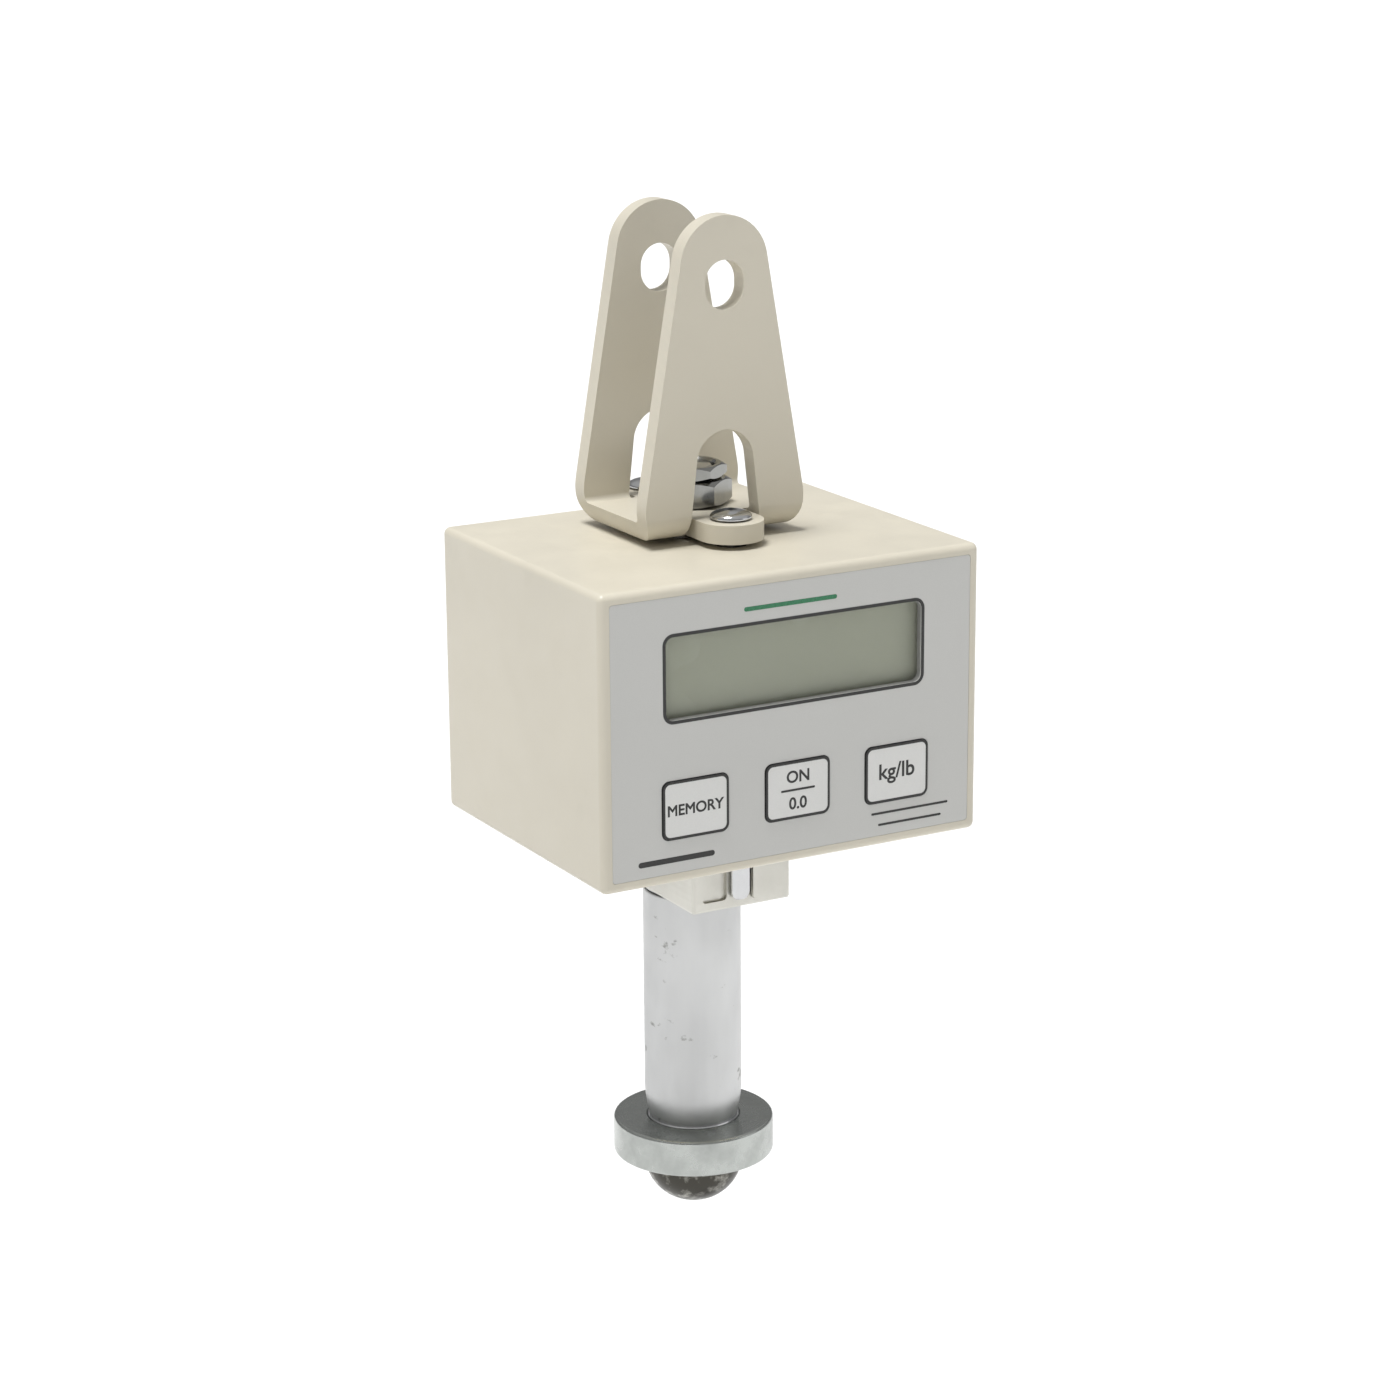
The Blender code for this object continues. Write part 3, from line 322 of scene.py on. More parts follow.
def label_film(name="label_film", base=(0.570, 0.570, 0.548)):
    """Silver-grey printed polyester: a very fine even grain and slow tone changes."""
    made = Surface(name, Specular_IOR_Level=0.4)
    grain = made.noise(4200, 2)
    slow = made.band(made.noise(18, 2), 0.3, 0.7)
    tone = made.mixed(slow, scaled(base, 0.985), scaled(base, 1.015))
    made.colour(made.mixed(made.band(grain, 0.35, 0.65, 0.0, 0.5), tone, scaled(base, 0.94)))
    made.rough(made.band(grain, 0.3, 0.7, 0.40, 0.52))
    made.bump(grain, 0.000008, 0.3)
    return made.material


def ink(name, base):
    """Screen-printed ink: slightly uneven in cover and gloss."""
    made = Surface(name, Specular_IOR_Level=0.4)
    cover = made.band(made.noise(2400, 3), 0.35, 0.7)
    made.colour(made.mixed(cover, base, scaled(base, 1.5)))
    made.rough(made.band(cover, 0, 1, 0.38, 0.55))
    return made.material


def clear_lens():
    """Clear acrylic: mostly see-through, with faint smudges on its gloss."""
    made = Surface("clear_lens", Alpha=0.08, IOR=1.49)
    smudge = made.noise(60, 4)
    made.colour(made.mixed(smudge, (0.70, 0.73, 0.66), (0.78, 0.80, 0.74)))
    made.rough(made.band(smudge, 0.35, 0.7, 0.03, 0.12))
    return made.material


def display_glass():
    """Reflective liquid-crystal glass: grey-green, with slow tone changes."""
    made = Surface("display_glass", Specular_IOR_Level=0.3)
    slow = made.band(made.noise(22, 2), 0.3, 0.7)
    made.colour(made.mixed(slow, (0.306, 0.321, 0.238), (0.314, 0.329, 0.246)))
    made.rough(made.band(slow, 0, 1, 0.22, 0.30))
    return made.material


def circuit_board():
    """Solder mask over copper tracks that run in two directions."""
    made = Surface("circuit_board")
    tracks = made.add("ShaderNodeTexBrick", {"Vector": made.place, "Scale": 260.0,
                                             "Mortar Size": 0.03}).outputs["Fac"]
    made.colour(made.mixed(tracks, (0.022, 0.120, 0.050), (0.050, 0.230, 0.095)))
    made.rough(made.band(made.noise(500, 3), 0.3, 0.7, 0.30, 0.50))
    made.bump(tracks, 0.00003, 0.4)
    return made.material


def black_plastic(name="black_plastic", base=(0.025, 0.025, 0.025)):
    made = Surface(name)
    grain = made.noise(1500, 3)
    made.colour(made.mixed(grain, scaled(base, 0.75), scaled(base, 1.3)))
    made.rough(made.band(grain, 0.3, 0.7, 0.42, 0.60))
    made.bump(grain, 0.00002, 0.4)
    return made.material


def battery_wrap():
    """Printed film with a bright band round one end."""
    made = Surface("battery_wrap")
    height = made.add("ShaderNodeSeparateXYZ", {0: made.place}).outputs["Z"]
    banded = made.band(height, case_low.z + 0.036, case_low.z + 0.0362)
    made.colour(made.mixed(banded, (0.05, 0.05, 0.055), (0.50, 0.34, 0.12)))
    made.rough(made.band(made.noise(300, 2), 0.3, 0.7, 0.22, 0.36))
    return made.material


def cable_jacket():
    made = Surface("cable_jacket")
    grain = made.noise(1800, 2)
    made.colour(made.mixed(grain, (0.10, 0.10, 0.105), (0.15, 0.15, 0.155)))
    made.rough(made.band(grain, 0.3, 0.7, 0.45, 0.60))
    made.bump(grain, 0.00002, 0.3)
    return made.material


slots = {
    "beige_paint": beige_paint(),
    "bright_zinc": zinc(),
    "polished_steel": polished_steel(),
    "dark_steel": dark_steel(),
    "nickel_plate": nickel_plate(),
    "label_film": label_film(),
    "key_film": label_film("key_film", (0.710, 0.710, 0.690)),
    "clear_lens": clear_lens(),
    "display_glass": display_glass(),
    "circuit_board": circuit_board(),
    "black_plastic": black_plastic(),
    "battery_wrap": battery_wrap(),
    "cable_jacket": cable_jacket(),
}
sleeve_skin = galvanised()
nut_plate = zinc("nut_plate", (0.30, 0.30, 0.285))
liner_grey = black_plastic("liner_grey", (0.270, 0.270, 0.260))
black_ink = ink("black_ink", (0.026, 0.026, 0.025))
green_ink = ink("green_ink", (0.030, 0.160, 0.075))


# ---- mesh helpers -----------------------------------------------------------------
def arc(centre, radius, start, end, steps):
    """Points of an arc from one angle to another, both ends included."""
    return [
        (centre[0] + radius * cos(start + (end - start) * i / steps),
         centre[1] + radius * sin(start + (end - start) * i / steps))
        for i in range(steps + 1)
    ]


def circle(centre, radius, sides):
    return arc(centre, radius, 0, 2 * pi * (sides - 1) / sides, sides - 1)


def soft_rectangle(low, high, radius, steps=8):
    (left, bottom), (right, top) = low, high
    centres = (
        (right - radius, top - radius, 0.0),
        (left + radius, top - radius, 0.5 * pi),
        (left + radius, bottom + radius, pi),
        (right - radius, bottom + radius, 1.5 * pi),
    )
    outline = []
    for u, v, start in centres:
        outline += arc((u, v), radius, start, start + 0.5 * pi, steps)
    return outline


def hexagon(flats, turn, centre=(0, 0)):
    corner = flats / (2 * cos(pi / 6))
    angles = [turn + k * pi / 3 for k in range(6)]
    return [(centre[0] + corner * cos(a), centre[1] + corner * sin(a)) for a in angles]


PLANES = {
    "X": Matrix(((0, 0, 1, 0), (1, 0, 0, 0), (0, 1, 0, 0), (0, 0, 0, 1))),
    "Y": Matrix(((1, 0, 0, 0), (0, 0, -1, 0), (0, 1, 0, 0), (0, 0, 0, 1))),
    "Z": Matrix.Identity(4),
}


def linked(name, mesh):
    made = bpy.data.objects.new(name, mesh)
    bpy.context.scene.collection.objects.link(made)
    return made


def from_bmesh(name, shape):
    bmesh.ops.recalc_face_normals(shape, faces=shape.faces)
    mesh = bpy.data.meshes.new(name)
    shape.to_mesh(mesh)
    shape.free()
    return linked(name, mesh)


def prism(name, outline, axis, start, end):
    """An outline drawn in (Y, Z), (X, Z) or (X, Y), extruded along the axis left out."""
    if axis == "Y":
        start, end = -end, -start
    shape = bmesh.new()
    face = shape.faces.new([shape.verts.new((u, v, start)) for u, v in outline])
    pushed = bmesh.ops.extrude_face_region(shape, geom=[face])["geom"]
    moved = [item for item in pushed if isinstance(item, bmesh.types.BMVert)]
    bmesh.ops.translate(shape, vec=(0, 0, end - start), verts=moved)
    bmesh.ops.transform(shape, matrix=PLANES[axis], verts=shape.verts)
    return from_bmesh(name, shape)


def block(name, low, high):
    shape = bmesh.new()
    bmesh.ops.create_cube(shape, size=1.0)
    size = [b - a for a, b in zip(low, high)]
    bmesh.ops.scale(shape, vec=size, verts=shape.verts)
    middle = [(a + b) / 2 for a, b in zip(low, high)]
    bmesh.ops.translate(shape, vec=middle, verts=shape.verts)
    return from_bmesh(name, shape)


def turned(name, profile, sides=FINE, at=(0, 0)):
    """A closed profile of (radius, height) points spun round an upright axis."""
    shape = bmesh.new()
    closed = not (profile[0][0] == 0 and profile[-1][0] == 0)
    points = [shape.verts.new((radius, 0, height)) for radius, height in profile]
    pairs = list(zip(points, points[1:])) + ([(points[-1], points[0])] if closed else [])
    edges = [shape.edges.new(pair) for pair in pairs]
    bmesh.ops.spin(shape, geom=points + edges, cent=(0, 0, 0), axis=(0, 0, 1), dvec=(0, 0, 0),
                   angle=2 * pi, steps=sides, use_merge=True, use_duplicate=False)
    bmesh.ops.remove_doubles(shape, verts=shape.verts, dist=0.000001)
    bmesh.ops.translate(shape, vec=(*at, 0), verts=shape.verts)
    return from_bmesh(name, shape)


def node_middle(node, first, second):
    """The middle of a node's box along two of its axes."""
    low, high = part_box(node)
    return tuple((low[axis] + high[axis]) / 2 for axis in (first, second))


def settle(made):
    """Applies the modifiers to the mesh."""
    graph = bpy.context.evaluated_depsgraph_get()
    result = bpy.data.meshes.new_from_object(made.evaluated_get(graph))
    made.modifiers.clear()
    made.data = result
    return made


def bevelled(made, width, segments=3, angle=35):
    bevel = made.modifiers.new("Soft edges", "BEVEL")
    bevel.width = width
    bevel.segments = segments
    bevel.limit_method = "ANGLE"
    bevel.angle_limit = radians(angle)
    return settle(made)


def combine(made, helper, operation):
    change = made.modifiers.new("Shape", "BOOLEAN")
    change.object = helper
    change.operation = operation
    change.solver = "EXACT"
    bpy.context.view_layer.update()
    settle(made)
    bpy.data.objects.remove(helper, do_unlink=True)
    return made


def cut(made, helper):
    return combine(made, helper, "DIFFERENCE")


def piece(made, surface, body, slot, *nodes, smooth_below=32):
    """Gives a piece its material, shading and body, and hides the CAD nodes it stands for. The slot
    argument is not used.
    """
    made.data.materials.clear()
    made.data.materials.append(surface)
    made.data.shade_smooth()
    made.data.set_sharp_from_angle(angle=radians(smooth_below))
    even = made.modifiers.new("Even normals", "WEIGHTED_NORMAL")
    even.keep_sharp = True
    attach(made, body)
    if nodes:
        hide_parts(*nodes)
    return made


# ---- clevis -----------------------------------------------------------------------
BASE = clevis_low.z
FLOOR_TOP = BASE + PLATE
TIP = clevis_high.z
TAB_SCREW = clevis_high.y - TAB_RADIUS


def clevis_side_profile():
    inner = EAR_BEND - PLATE
    turn = BASE + EAR_BEND
    run = EAR_REACH - EAR_BEND
    top = TIP + 2 * OVERCUT
    outline = [(EAR_REACH, top)]
    outline += arc((run, turn), EAR_BEND, 0, -pi / 2, 14)
    outline += arc((-run, turn), EAR_BEND, -pi / 2, -pi, 14)
    outline += [(-EAR_REACH, top), (-EAR_REACH + PLATE, top)]
    outline += arc((-run, turn), inner, -pi, -pi / 2, 8)
    outline += arc((run, turn), inner, -pi / 2, 0, 8)
    outline += [(EAR_REACH - PLATE, top)]
    return outline


def ear_outline():
    """An ear seen from the front: round tip, spreading sides, curved hips."""
    tip = TIP - EAR_TIP_RADIUS
    hip = -EAR_HIP_DROP
    span = hypot(EAR_HIP, tip - hip)
    lean = atan2(EAR_HIP, tip - hip) - asin(EAR_TIP_RADIUS / span)
    low = BASE - OVERCUT
    centre = (EAR_HIP - EAR_HIP_RADIUS * cos(lean), hip - EAR_HIP_RADIUS * sin(lean))
    last = asin(max(-1.0, (low - centre[1]) / EAR_HIP_RADIUS))
    right = arc(centre, EAR_HIP_RADIUS, last, lean, 18)
    crown = arc((0, tip), EAR_TIP_RADIUS, lean, pi - lean, 44)
    return right + crown + [(-x, z) for x, z in reversed(right)]


def arch_outline():
    centre = case_high.z + ARCH_RISE - ARCH_RADIUS
    drop = centre - FLOOR_TOP
    lean = atan2(ARCH_FOOT, drop) - asin(min(1.0, ARCH_RADIUS / hypot(ARCH_FOOT, drop)))
    crown = arc((0, centre), ARCH_RADIUS, lean, pi - lean, 30)
    foot = BASE - 2 * OVERCUT
    return [(ARCH_FOOT, foot), *crown, (-ARCH_FOOT, foot)]


def pin_hole_outline():
    upper = arc((0, PIN_HOLE_STRETCH), PIN_HOLE_RADIUS, 0, pi, 28)
    lower = arc((0, -PIN_HOLE_STRETCH), PIN_HOLE_RADIUS, pi, 2 * pi, 28)
    return upper + lower


def tab_outline():
    front = arc((0, -TAB_SCREW), TAB_RADIUS, -pi, 0, 40)
    rear = arc((0, TAB_SCREW), TAB_RADIUS, 0, pi, 40)
    return front + rear


def clevis():
    wide = EAR_HIP + 4 * OVERCUT
    made = prism("clevis", clevis_side_profile(), "X", -wide, wide)
    trim = prism("ear_trim", ear_outline(), "Y", -PAST_CLEVIS, PAST_CLEVIS)
    combine(made, trim, "INTERSECT")
    inside = EAR_REACH - EAR_BEND
    for start, end in ((-PAST_CLEVIS, -inside), (inside, PAST_CLEVIS)):
        cut(made, prism("arch", arch_outline(), "Y", start, end))
    combine(made, prism("tab_strip", tab_outline(), "Z", BASE, FLOOR_TOP), "UNION")
    cut(made, prism("pin_hole", pin_hole_outline(), "Y", -PAST_CLEVIS, PAST_CLEVIS))
    screw = TAB_SCREW_RADIUS
    for y, radius in ((0, STUD_RADIUS), (-TAB_SCREW, screw), (TAB_SCREW, screw)):
        outline = circle((0, y), radius + GAP, 48)
        cut(made, prism("floor_hole", outline, "Z", BASE - 2 * OVERCUT, FLOOR_TOP + 2 * OVERCUT))
    bevelled(made, CLEVIS_EDGE, 3, 40)
    piece(made, slots["beige_paint"], "scale", "beige_paint", "clevis_bracket")


# ---- fasteners --------------------------------------------------------------------
def button_screw(name, node):
    """Button-head screw with a rounded crown and a hexagon socket."""
    low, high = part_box(node)
    at = node_middle(node, 0, 1)
    radius = (high.x - low.x) / 2
    seat = FLOOR_TOP + GAP
    height = high.z - seat
    rim = 0.18 * height
    lip = 0.0002
    shank = TAB_SCREW_RADIUS
    crown = [(radius * cos(radians(a)), rim + (height - rim) * sin(radians(a)))
             for a in range(78, -1, -6)]
    profile = [(0, height), (0.15 * radius, height), *crown, (radius, lip), (radius - lip, 0),
               (shank, 0), (shank, low.z - seat), (0, low.z - seat)]
    made = turned(name, [(r, seat + z) for r, z in profile], MEDIUM, at)
    socket = hexagon(0.56 * radius, TAB_SOCKET_TURN, at)
    cut(made, prism("socket", socket, "Z", high.z - 0.40 * height, high.z + 2 * OVERCUT))
    bevelled(made, 0.00010, 2, 45)
    piece(made, slots["bright_zinc"], "scale", "bright_zinc", node)


def nut(name, node):
    """Hexagon nut with turned chamfers on both faces and a plain, countersunk bore."""
    low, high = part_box(node)
    flats = NUT_FLATS[node]
    corner = flats / (2 * cos(pi / 6))
    flat = flats / 2 * 0.97
    drop = (corner - flat) * 0.55
    made = prism(name, hexagon(flats, NUT_TURNS[node]), "Z", low.z, high.z)
    combine(made, turned("barrel", [
        (0, high.z), (flat, high.z), (corner, high.z - drop), (corner, low.z + drop),
        (flat, low.z), (0, low.z)]), "INTERSECT")
    wide = BORE_RADIUS + NUT_SINK
    cut(made, turned("bore", [
        (0, high.z + OVERCUT), (wide, high.z + OVERCUT), (wide, high.z),
        (BORE_RADIUS, high.z - NUT_SINK), (BORE_RADIUS, low.z + NUT_SINK), (wide, low.z),
        (wide, low.z - OVERCUT), (0, low.z - OVERCUT)], MEDIUM))
    bevelled(made, 0.00015, 2, 20)
    piece(made, nut_plate, "scale", "bright_zinc", node, smooth_below=18)


def stud():
    """The load cell's stud, its thread drawn as rings."""
    low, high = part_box("hanger_stud")
    lip = 0.0009
    profile = [(0, high.z), (STUD_RADIUS - lip, high.z)]
    height = high.z - lip
    while height > low.z + lip + THREAD_PITCH:
        profile += [(STUD_RADIUS, height), (STUD_RADIUS - THREAD_DEPTH, height - THREAD_PITCH / 2)]
        height -= THREAD_PITCH
    profile += [(STUD_RADIUS, height), (STUD_RADIUS - lip, low.z), (0, low.z)]
    made = turned("stud", profile, MEDIUM)
    piece(made, slots["bright_zinc"], "scale", "bright_zinc", "hanger_stud", smooth_below=50)


def cover_screw(number):
    """Pan-head screw with a cross recess, on the rear cover."""
    node = f"rear_cover_screw_{number}"
    low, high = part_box(node)
    x, z = node_middle(node, 0, 2)
    radius = (high.x - low.x) / 2
    seat = case_high.y + GAP
    height = high.y - seat
    rim = 0.22 * height
    shank = 0.53 * radius
    crown = [(radius * cos(radians(a)), rim + (height - rim) * sin(radians(a)))
             for a in range(84, -1, -7)]
    profile = [(0, height), *crown, (radius, 0), (shank, 0), (shank, low.y - seat),
               (0, low.y - seat)]
    made = turned(f"cover_screw_{number}", profile, 48)
    half = 0.13 * radius
    reach = 0.56 * radius
    for u, w in ((half, reach), (reach, half)):
        cut(made, block("cross", (-u, -w, 0.35 * height), (u, w, height + OVERCUT)))
    bevelled(made, 0.00006, 2, 45)
    made.data.transform(Matrix.Translation((x, seat, z)) @ Matrix.Rotation(-pi / 2, 4, "X"))
    piece(made, slots["bright_zinc"], "scale", "bright_zinc", node)


# ---- spindle ----------------------------------------------------------------------
def sleeve():
    low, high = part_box("spindle_sleeve")
    radius = (high.x - low.x) / 2
    lip = 0.0005
    steps = 12
    taper = [(radius - (radius - SPINDLE_END_RADIUS) * (i / steps) ** 1.6,
              low.z + SPINDLE_TAPER * (1 - i / steps)) for i in range(steps)]
    foot = 0.0003
    profile = [(BORE_RADIUS, high.z), (radius - lip, high.z),
               (radius - 0.3 * lip, high.z - 0.3 * lip), (radius, high.z - lip), *taper,
               (SPINDLE_END_RADIUS, low.z + foot), (SPINDLE_END_RADIUS - foot, low.z),
               (BORE_RADIUS, low.z)]
    piece(turned("sleeve", profile), sleeve_skin, "spindle", "bright_zinc", "spindle_sleeve")


def flange():
    """Load flange with a shallow seat for the sleeve, and the bright bead in that seat."""
    low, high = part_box("load_flange")
    radius = (high.x - low.x) / 2
    lip = 0.0008
    upper = arc((radius - lip, high.z - lip), lip, pi / 2, 0, 6)
    lower = arc((radius - lip, low.z + lip), lip, 0, -pi / 2, 6)
    seat = high.z - SEAT_DEPTH
    bevel = 0.0003
    profile = [(BORE_RADIUS, seat), (SEAT_RADIUS, seat), (SEAT_RADIUS, high.z - bevel),
               (SEAT_RADIUS + bevel, high.z), *upper, *lower, (BORE_RADIUS, low.z)]
    made = turned("flange", profile, 128)
    piece(made, slots["polished_steel"], "spindle", "polished_steel", "load_flange")
    inner = SPINDLE_END_RADIUS - 0.0002
    outer = SEAT_RADIUS - 0.00005
    bead = [(inner, seat), (outer, seat), (outer, high.z + 0.0001),
            (outer - 0.0002, high.z + 0.0004), (inner, high.z + 0.0005)]
    piece(turned("foot_bead", bead, 128), slots["bright_zinc"], "spindle", "bright_zinc")


def bolt():
    """Dome-headed bolt with a hexagon socket in its crown."""
    low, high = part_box("swivel_bolt")
    radius = (high.x - low.x) / 2
    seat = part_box("lower_thrust_washer")[0].z - GAP
    equator = seat - DOME_SHOULDER
    tip = equator - DOME_DROP
    lip = 0.0009
    dome = [(radius * cos(radians(a)), equator - DOME_DROP * sin(radians(a)))
            for a in range(0, 89, 4)]
    profile = [(0, high.z), (STUD_RADIUS - lip, high.z), (STUD_RADIUS, high.z - lip),
               (STUD_RADIUS, seat), (radius - 0.0004, seat), *dome, (0, tip)]
    made = turned("bolt", profile)
    socket = hexagon(BOLT_SOCKET_FLATS, 0)
    cut(made, prism("socket", socket, "Z", tip - 2 * OVERCUT, tip + BOLT_SOCKET_DEPTH))
    bevelled(made, 0.00025, 3, 35)
    piece(made, slots["dark_steel"], "scale", "dark_steel", "swivel_bolt")


def washer(name, node, body, slot, surface):
    low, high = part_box(node)
    radius = (high.x - low.x) / 2
    lip = 0.0002
    profile = [(BORE_RADIUS, high.z), (radius - lip, high.z), (radius, high.z - lip),
               (radius, low.z + lip), (radius - lip, low.z), (BORE_RADIUS, low.z)]
    piece(turned(name, profile, FINE), surface, body, slot, node)


# ---- case -------------------------------------------------------------------------
def grown(box, by):
    (left, bottom), (right, top) = box
    return (left - by, bottom - by), (right + by, top + by)


def face_box(node, by=0.0):
    """A node's outline seen from the front, as (X, Z) corners, grown by a margin."""
    low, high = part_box(node)
    return grown(((low.x, low.z), (high.x, high.z)), by)


KEYS = ("key_recall", "key_zero", "key_unit")
LENS_MARGIN = 0.0022         # the lens reaches this far behind the window's rim
window_box = face_box("display_lens", -LENS_MARGIN)


def cut_keys(made, start, end):
    for node in KEYS:
        hole = soft_rectangle(*face_box(node, GAP), SOFT_CORNER)
        cut(made, prism("key_hole", hole, "Y", start, end))


def add_lugs(made):
    """Bored lugs in the case's rear corners, which the cover's screws go into."""
    centre = (case_low.z + case_high.z) / 2
    rear = case_high.y - CASE_WALL - GAP
    for number in COVER_SCREWS:
        x, z = node_middle(f"rear_cover_screw_{number}", 0, 2)
        out_x = LUG_REACH if x > 0 else -LUG_REACH
        out_z = LUG_REACH if z > centre else -LUG_REACH
        u = sorted((x - 0.8 * out_x, x + out_x))
        w = sorted((z - 0.8 * out_z, z + out_z))
        combine(made, block("lug", (u[0], rear - LUG_DEPTH, w[0]), (u[1], rear, w[1])), "UNION")
        hole = circle((x, z), COVER_HOLE_RADIUS, 24)
        cut(made, prism("lug_hole", hole, "Y", rear - 0.9 * LUG_DEPTH, rear + 2 * OVERCUT))


def open_front(made):
    """Shallow pocket for the film, and the openings for the window and the keys."""
    front = case_low.y
    pocket = soft_rectangle(*face_box("front_overlay", FILM_GAP), OVERLAY_CORNER)
    depth = FILM_INSET + FILM_THICK + GAP
    cut(made, prism("pocket", pocket, "Y", front - 2 * OVERCUT, front + depth))
    deep = front + CASE_WALL + 2 * OVERCUT
    window = soft_rectangle(*grown(window_box, 0.0002), SOFT_CORNER)
    cut(made, prism("window", window, "Y", front - OVERCUT, deep))
    cut_keys(made, front - OVERCUT, deep)


def open_ends(made):
    """Openings for the spacers in the top and for the load cell in the underside."""
    spacer_low, spacer_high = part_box("clevis_spacer")
    cell_low, cell_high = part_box("load_cell")
    top = (case_high.z - 4 * OVERCUT, case_high.z + 2 * OVERCUT)
    bottom = (case_low.z - 2 * OVERCUT, case_low.z + 4 * OVERCUT)
    openings = ((spacer_low, spacer_high, GAP, top),
                (cell_low, cell_high, CELL_OPENING_ROOM, bottom))
    for low, high, margin, reach in openings:
        box = grown(((low.x, low.y), (high.x, high.y)), margin)
        cut(made, prism("opening", soft_rectangle(*box, OPENING_CORNER), "Z", *reach))
    for node in ("tab_spacer_front", "tab_spacer_rear"):
        low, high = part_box(node)
        hole = circle((0, (low.y + high.y) / 2), (high.x - low.x) / 2 + GAP, 32)
        cut(made, prism("tab_hole", hole, "Z", *top))


def case():
    made = block("case", case_low, case_high)
    bevelled(made, CASE_EDGE, 6)
    wall = CASE_WALL
    hollow_low = (case_low.x + wall, case_low.y + wall, case_low.z + wall)
    hollow_high = (case_high.x - wall, case_high.y + 5 * OVERCUT, case_high.z - wall)
    cut(made, block("hollow", hollow_low, hollow_high))
    add_lugs(made)
    open_front(made)
    open_ends(made)
    piece(made, slots["beige_paint"], "scale", "beige_paint", "case_shell")


def overlay():
    """The printed film, with its window and the key openings."""
    low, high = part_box("front_overlay")
    outline = soft_rectangle(*face_box("front_overlay"), OVERLAY_CORNER)
    made = prism("overlay", outline, "Y", low.y, high.y)
    window = soft_rectangle(*window_box, SOFT_CORNER)
    cut(made, prism("window", window, "Y", low.y - OVERCUT, high.y + OVERCUT))
    cut_keys(made, low.y - OVERCUT, high.y + OVERCUT)
    piece(made, slots["label_film"], "scale", "label_film", "front_overlay")


def printed_line(name, box, radius, width, face, body, surface, depth=INK):
    """A round-cornered printed frame, just proud of a face and some depth into it; depth beyond the
    ink's own is painted shade, as in the seam round a key.
    """
    made = prism(name, soft_rectangle(*box, radius), "Y", face - INK, face + depth)
    inner = soft_rectangle(*grown(box, -width), radius - width)
    cut(made, prism("inside", inner, "Y", face - OVERCUT, face + depth + OVERCUT))
    piece(made, surface, body, "label_film")


def lettering(name, words, size, centre, face, body):
    """Printed words, centred at (X, Z) on a face that looks to -Y."""
    text = bpy.data.curves.new(name, "FONT")
    text.body = words
    text.size = size
    text.align_x = "CENTER"
    text.align_y = "CENTER"
    text.extrude = INK
    text.bevel_depth = LETTER_BOLD
    text.bevel_resolution = 0
    holder = linked(name, text)
    bpy.context.view_layer.update()
    graph = bpy.context.evaluated_depsgraph_get()
    mesh = bpy.data.meshes.new_from_object(holder.evaluated_get(graph))
    bpy.data.objects.remove(holder, do_unlink=True)
    columns = [corner.co.x for corner in mesh.vertices]
    rows = [corner.co.y for corner in mesh.vertices]
    centre_of_text = Vector(((min(columns) + max(columns)) / 2, (min(rows) + max(rows)) / 2, 0))
    flat = INK / (INK + LETTER_BOLD)
    stand = Matrix.Rotation(pi / 2, 4, "X")
    place = Matrix.Translation((centre[0], face, centre[1]))
    shape = Matrix.Diagonal((1, 1, flat, 1)) @ Matrix.Translation(-centre_of_text)
    mesh.transform(place @ stand @ shape)
    made = linked(name, mesh)
    piece(made, black_ink, body, "key_film")


KEY_FACE_INSET = 0.00004     # the key film lies this far inside the CAD key's face


def key(node):
    """A key's flat cap and its black frame: printed on the face, and wrapped round the cap's edge
    as painted shade in the seam.
    """
    low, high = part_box(node)
    face = low.y + KEY_FACE_INSET
    made = prism(f"{node}_cap", soft_rectangle(*face_box(node), SOFT_CORNER), "Y", face, high.y)
    bevelled(made, 0.00004, 1, 60)
    piece(made, slots["key_film"], node, "key_film", node)
    # the printed frame, carried back over the cap's edge as painted shade in the seam
    printed_line(f"{node}_frame", face_box(node, 0.00002), SOFT_CORNER, KEY_LINE, face, node,
                 black_ink, KEY_FRAME_SHADE_DEPTH)


def keys():
    for node in KEYS:
        key(node)
    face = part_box(KEYS[0])[0].y + KEY_FACE_INSET
    lettering("key_recall_legend", "MEMORY", MEMORY_SIZE, node_middle("key_recall", 0, 2), face,
              "key_recall")
    x, z = node_middle("key_zero", 0, 2)
    for name, words, row in (("key_zero_legend_upper", "ON", z + ZERO_LINE_OFFSET),
                             ("key_zero_legend_lower", "0.0", z - ZERO_LINE_OFFSET)):
        lettering(name, words, ZERO_SIZE, (x, row), face, "key_zero")
    bar = prism("key_zero_bar", bar_outline((x, z), ZERO_BAR, 0.0002), "Y", face - INK, face + INK)
    piece(bar, black_ink, "key_zero", "key_film")
    lettering("key_unit_legend", "kg/lb", UNIT_SIZE, node_middle("key_unit", 0, 2), face,
              "key_unit")


def bar_outline(centre, size, radius):
    (x, z), (width, height) = centre, size
    return soft_rectangle((x - width / 2, z - height / 2), (x + width / 2, z + height / 2), radius)


def printed_rule(name, centre, size, face, surface):
    """A plain printed bar with round ends."""
    outline = bar_outline(centre, size, 0.48 * size[1])
    piece(prism(name, outline, "Y", face - INK, face + INK), surface, "scale", "label_film")


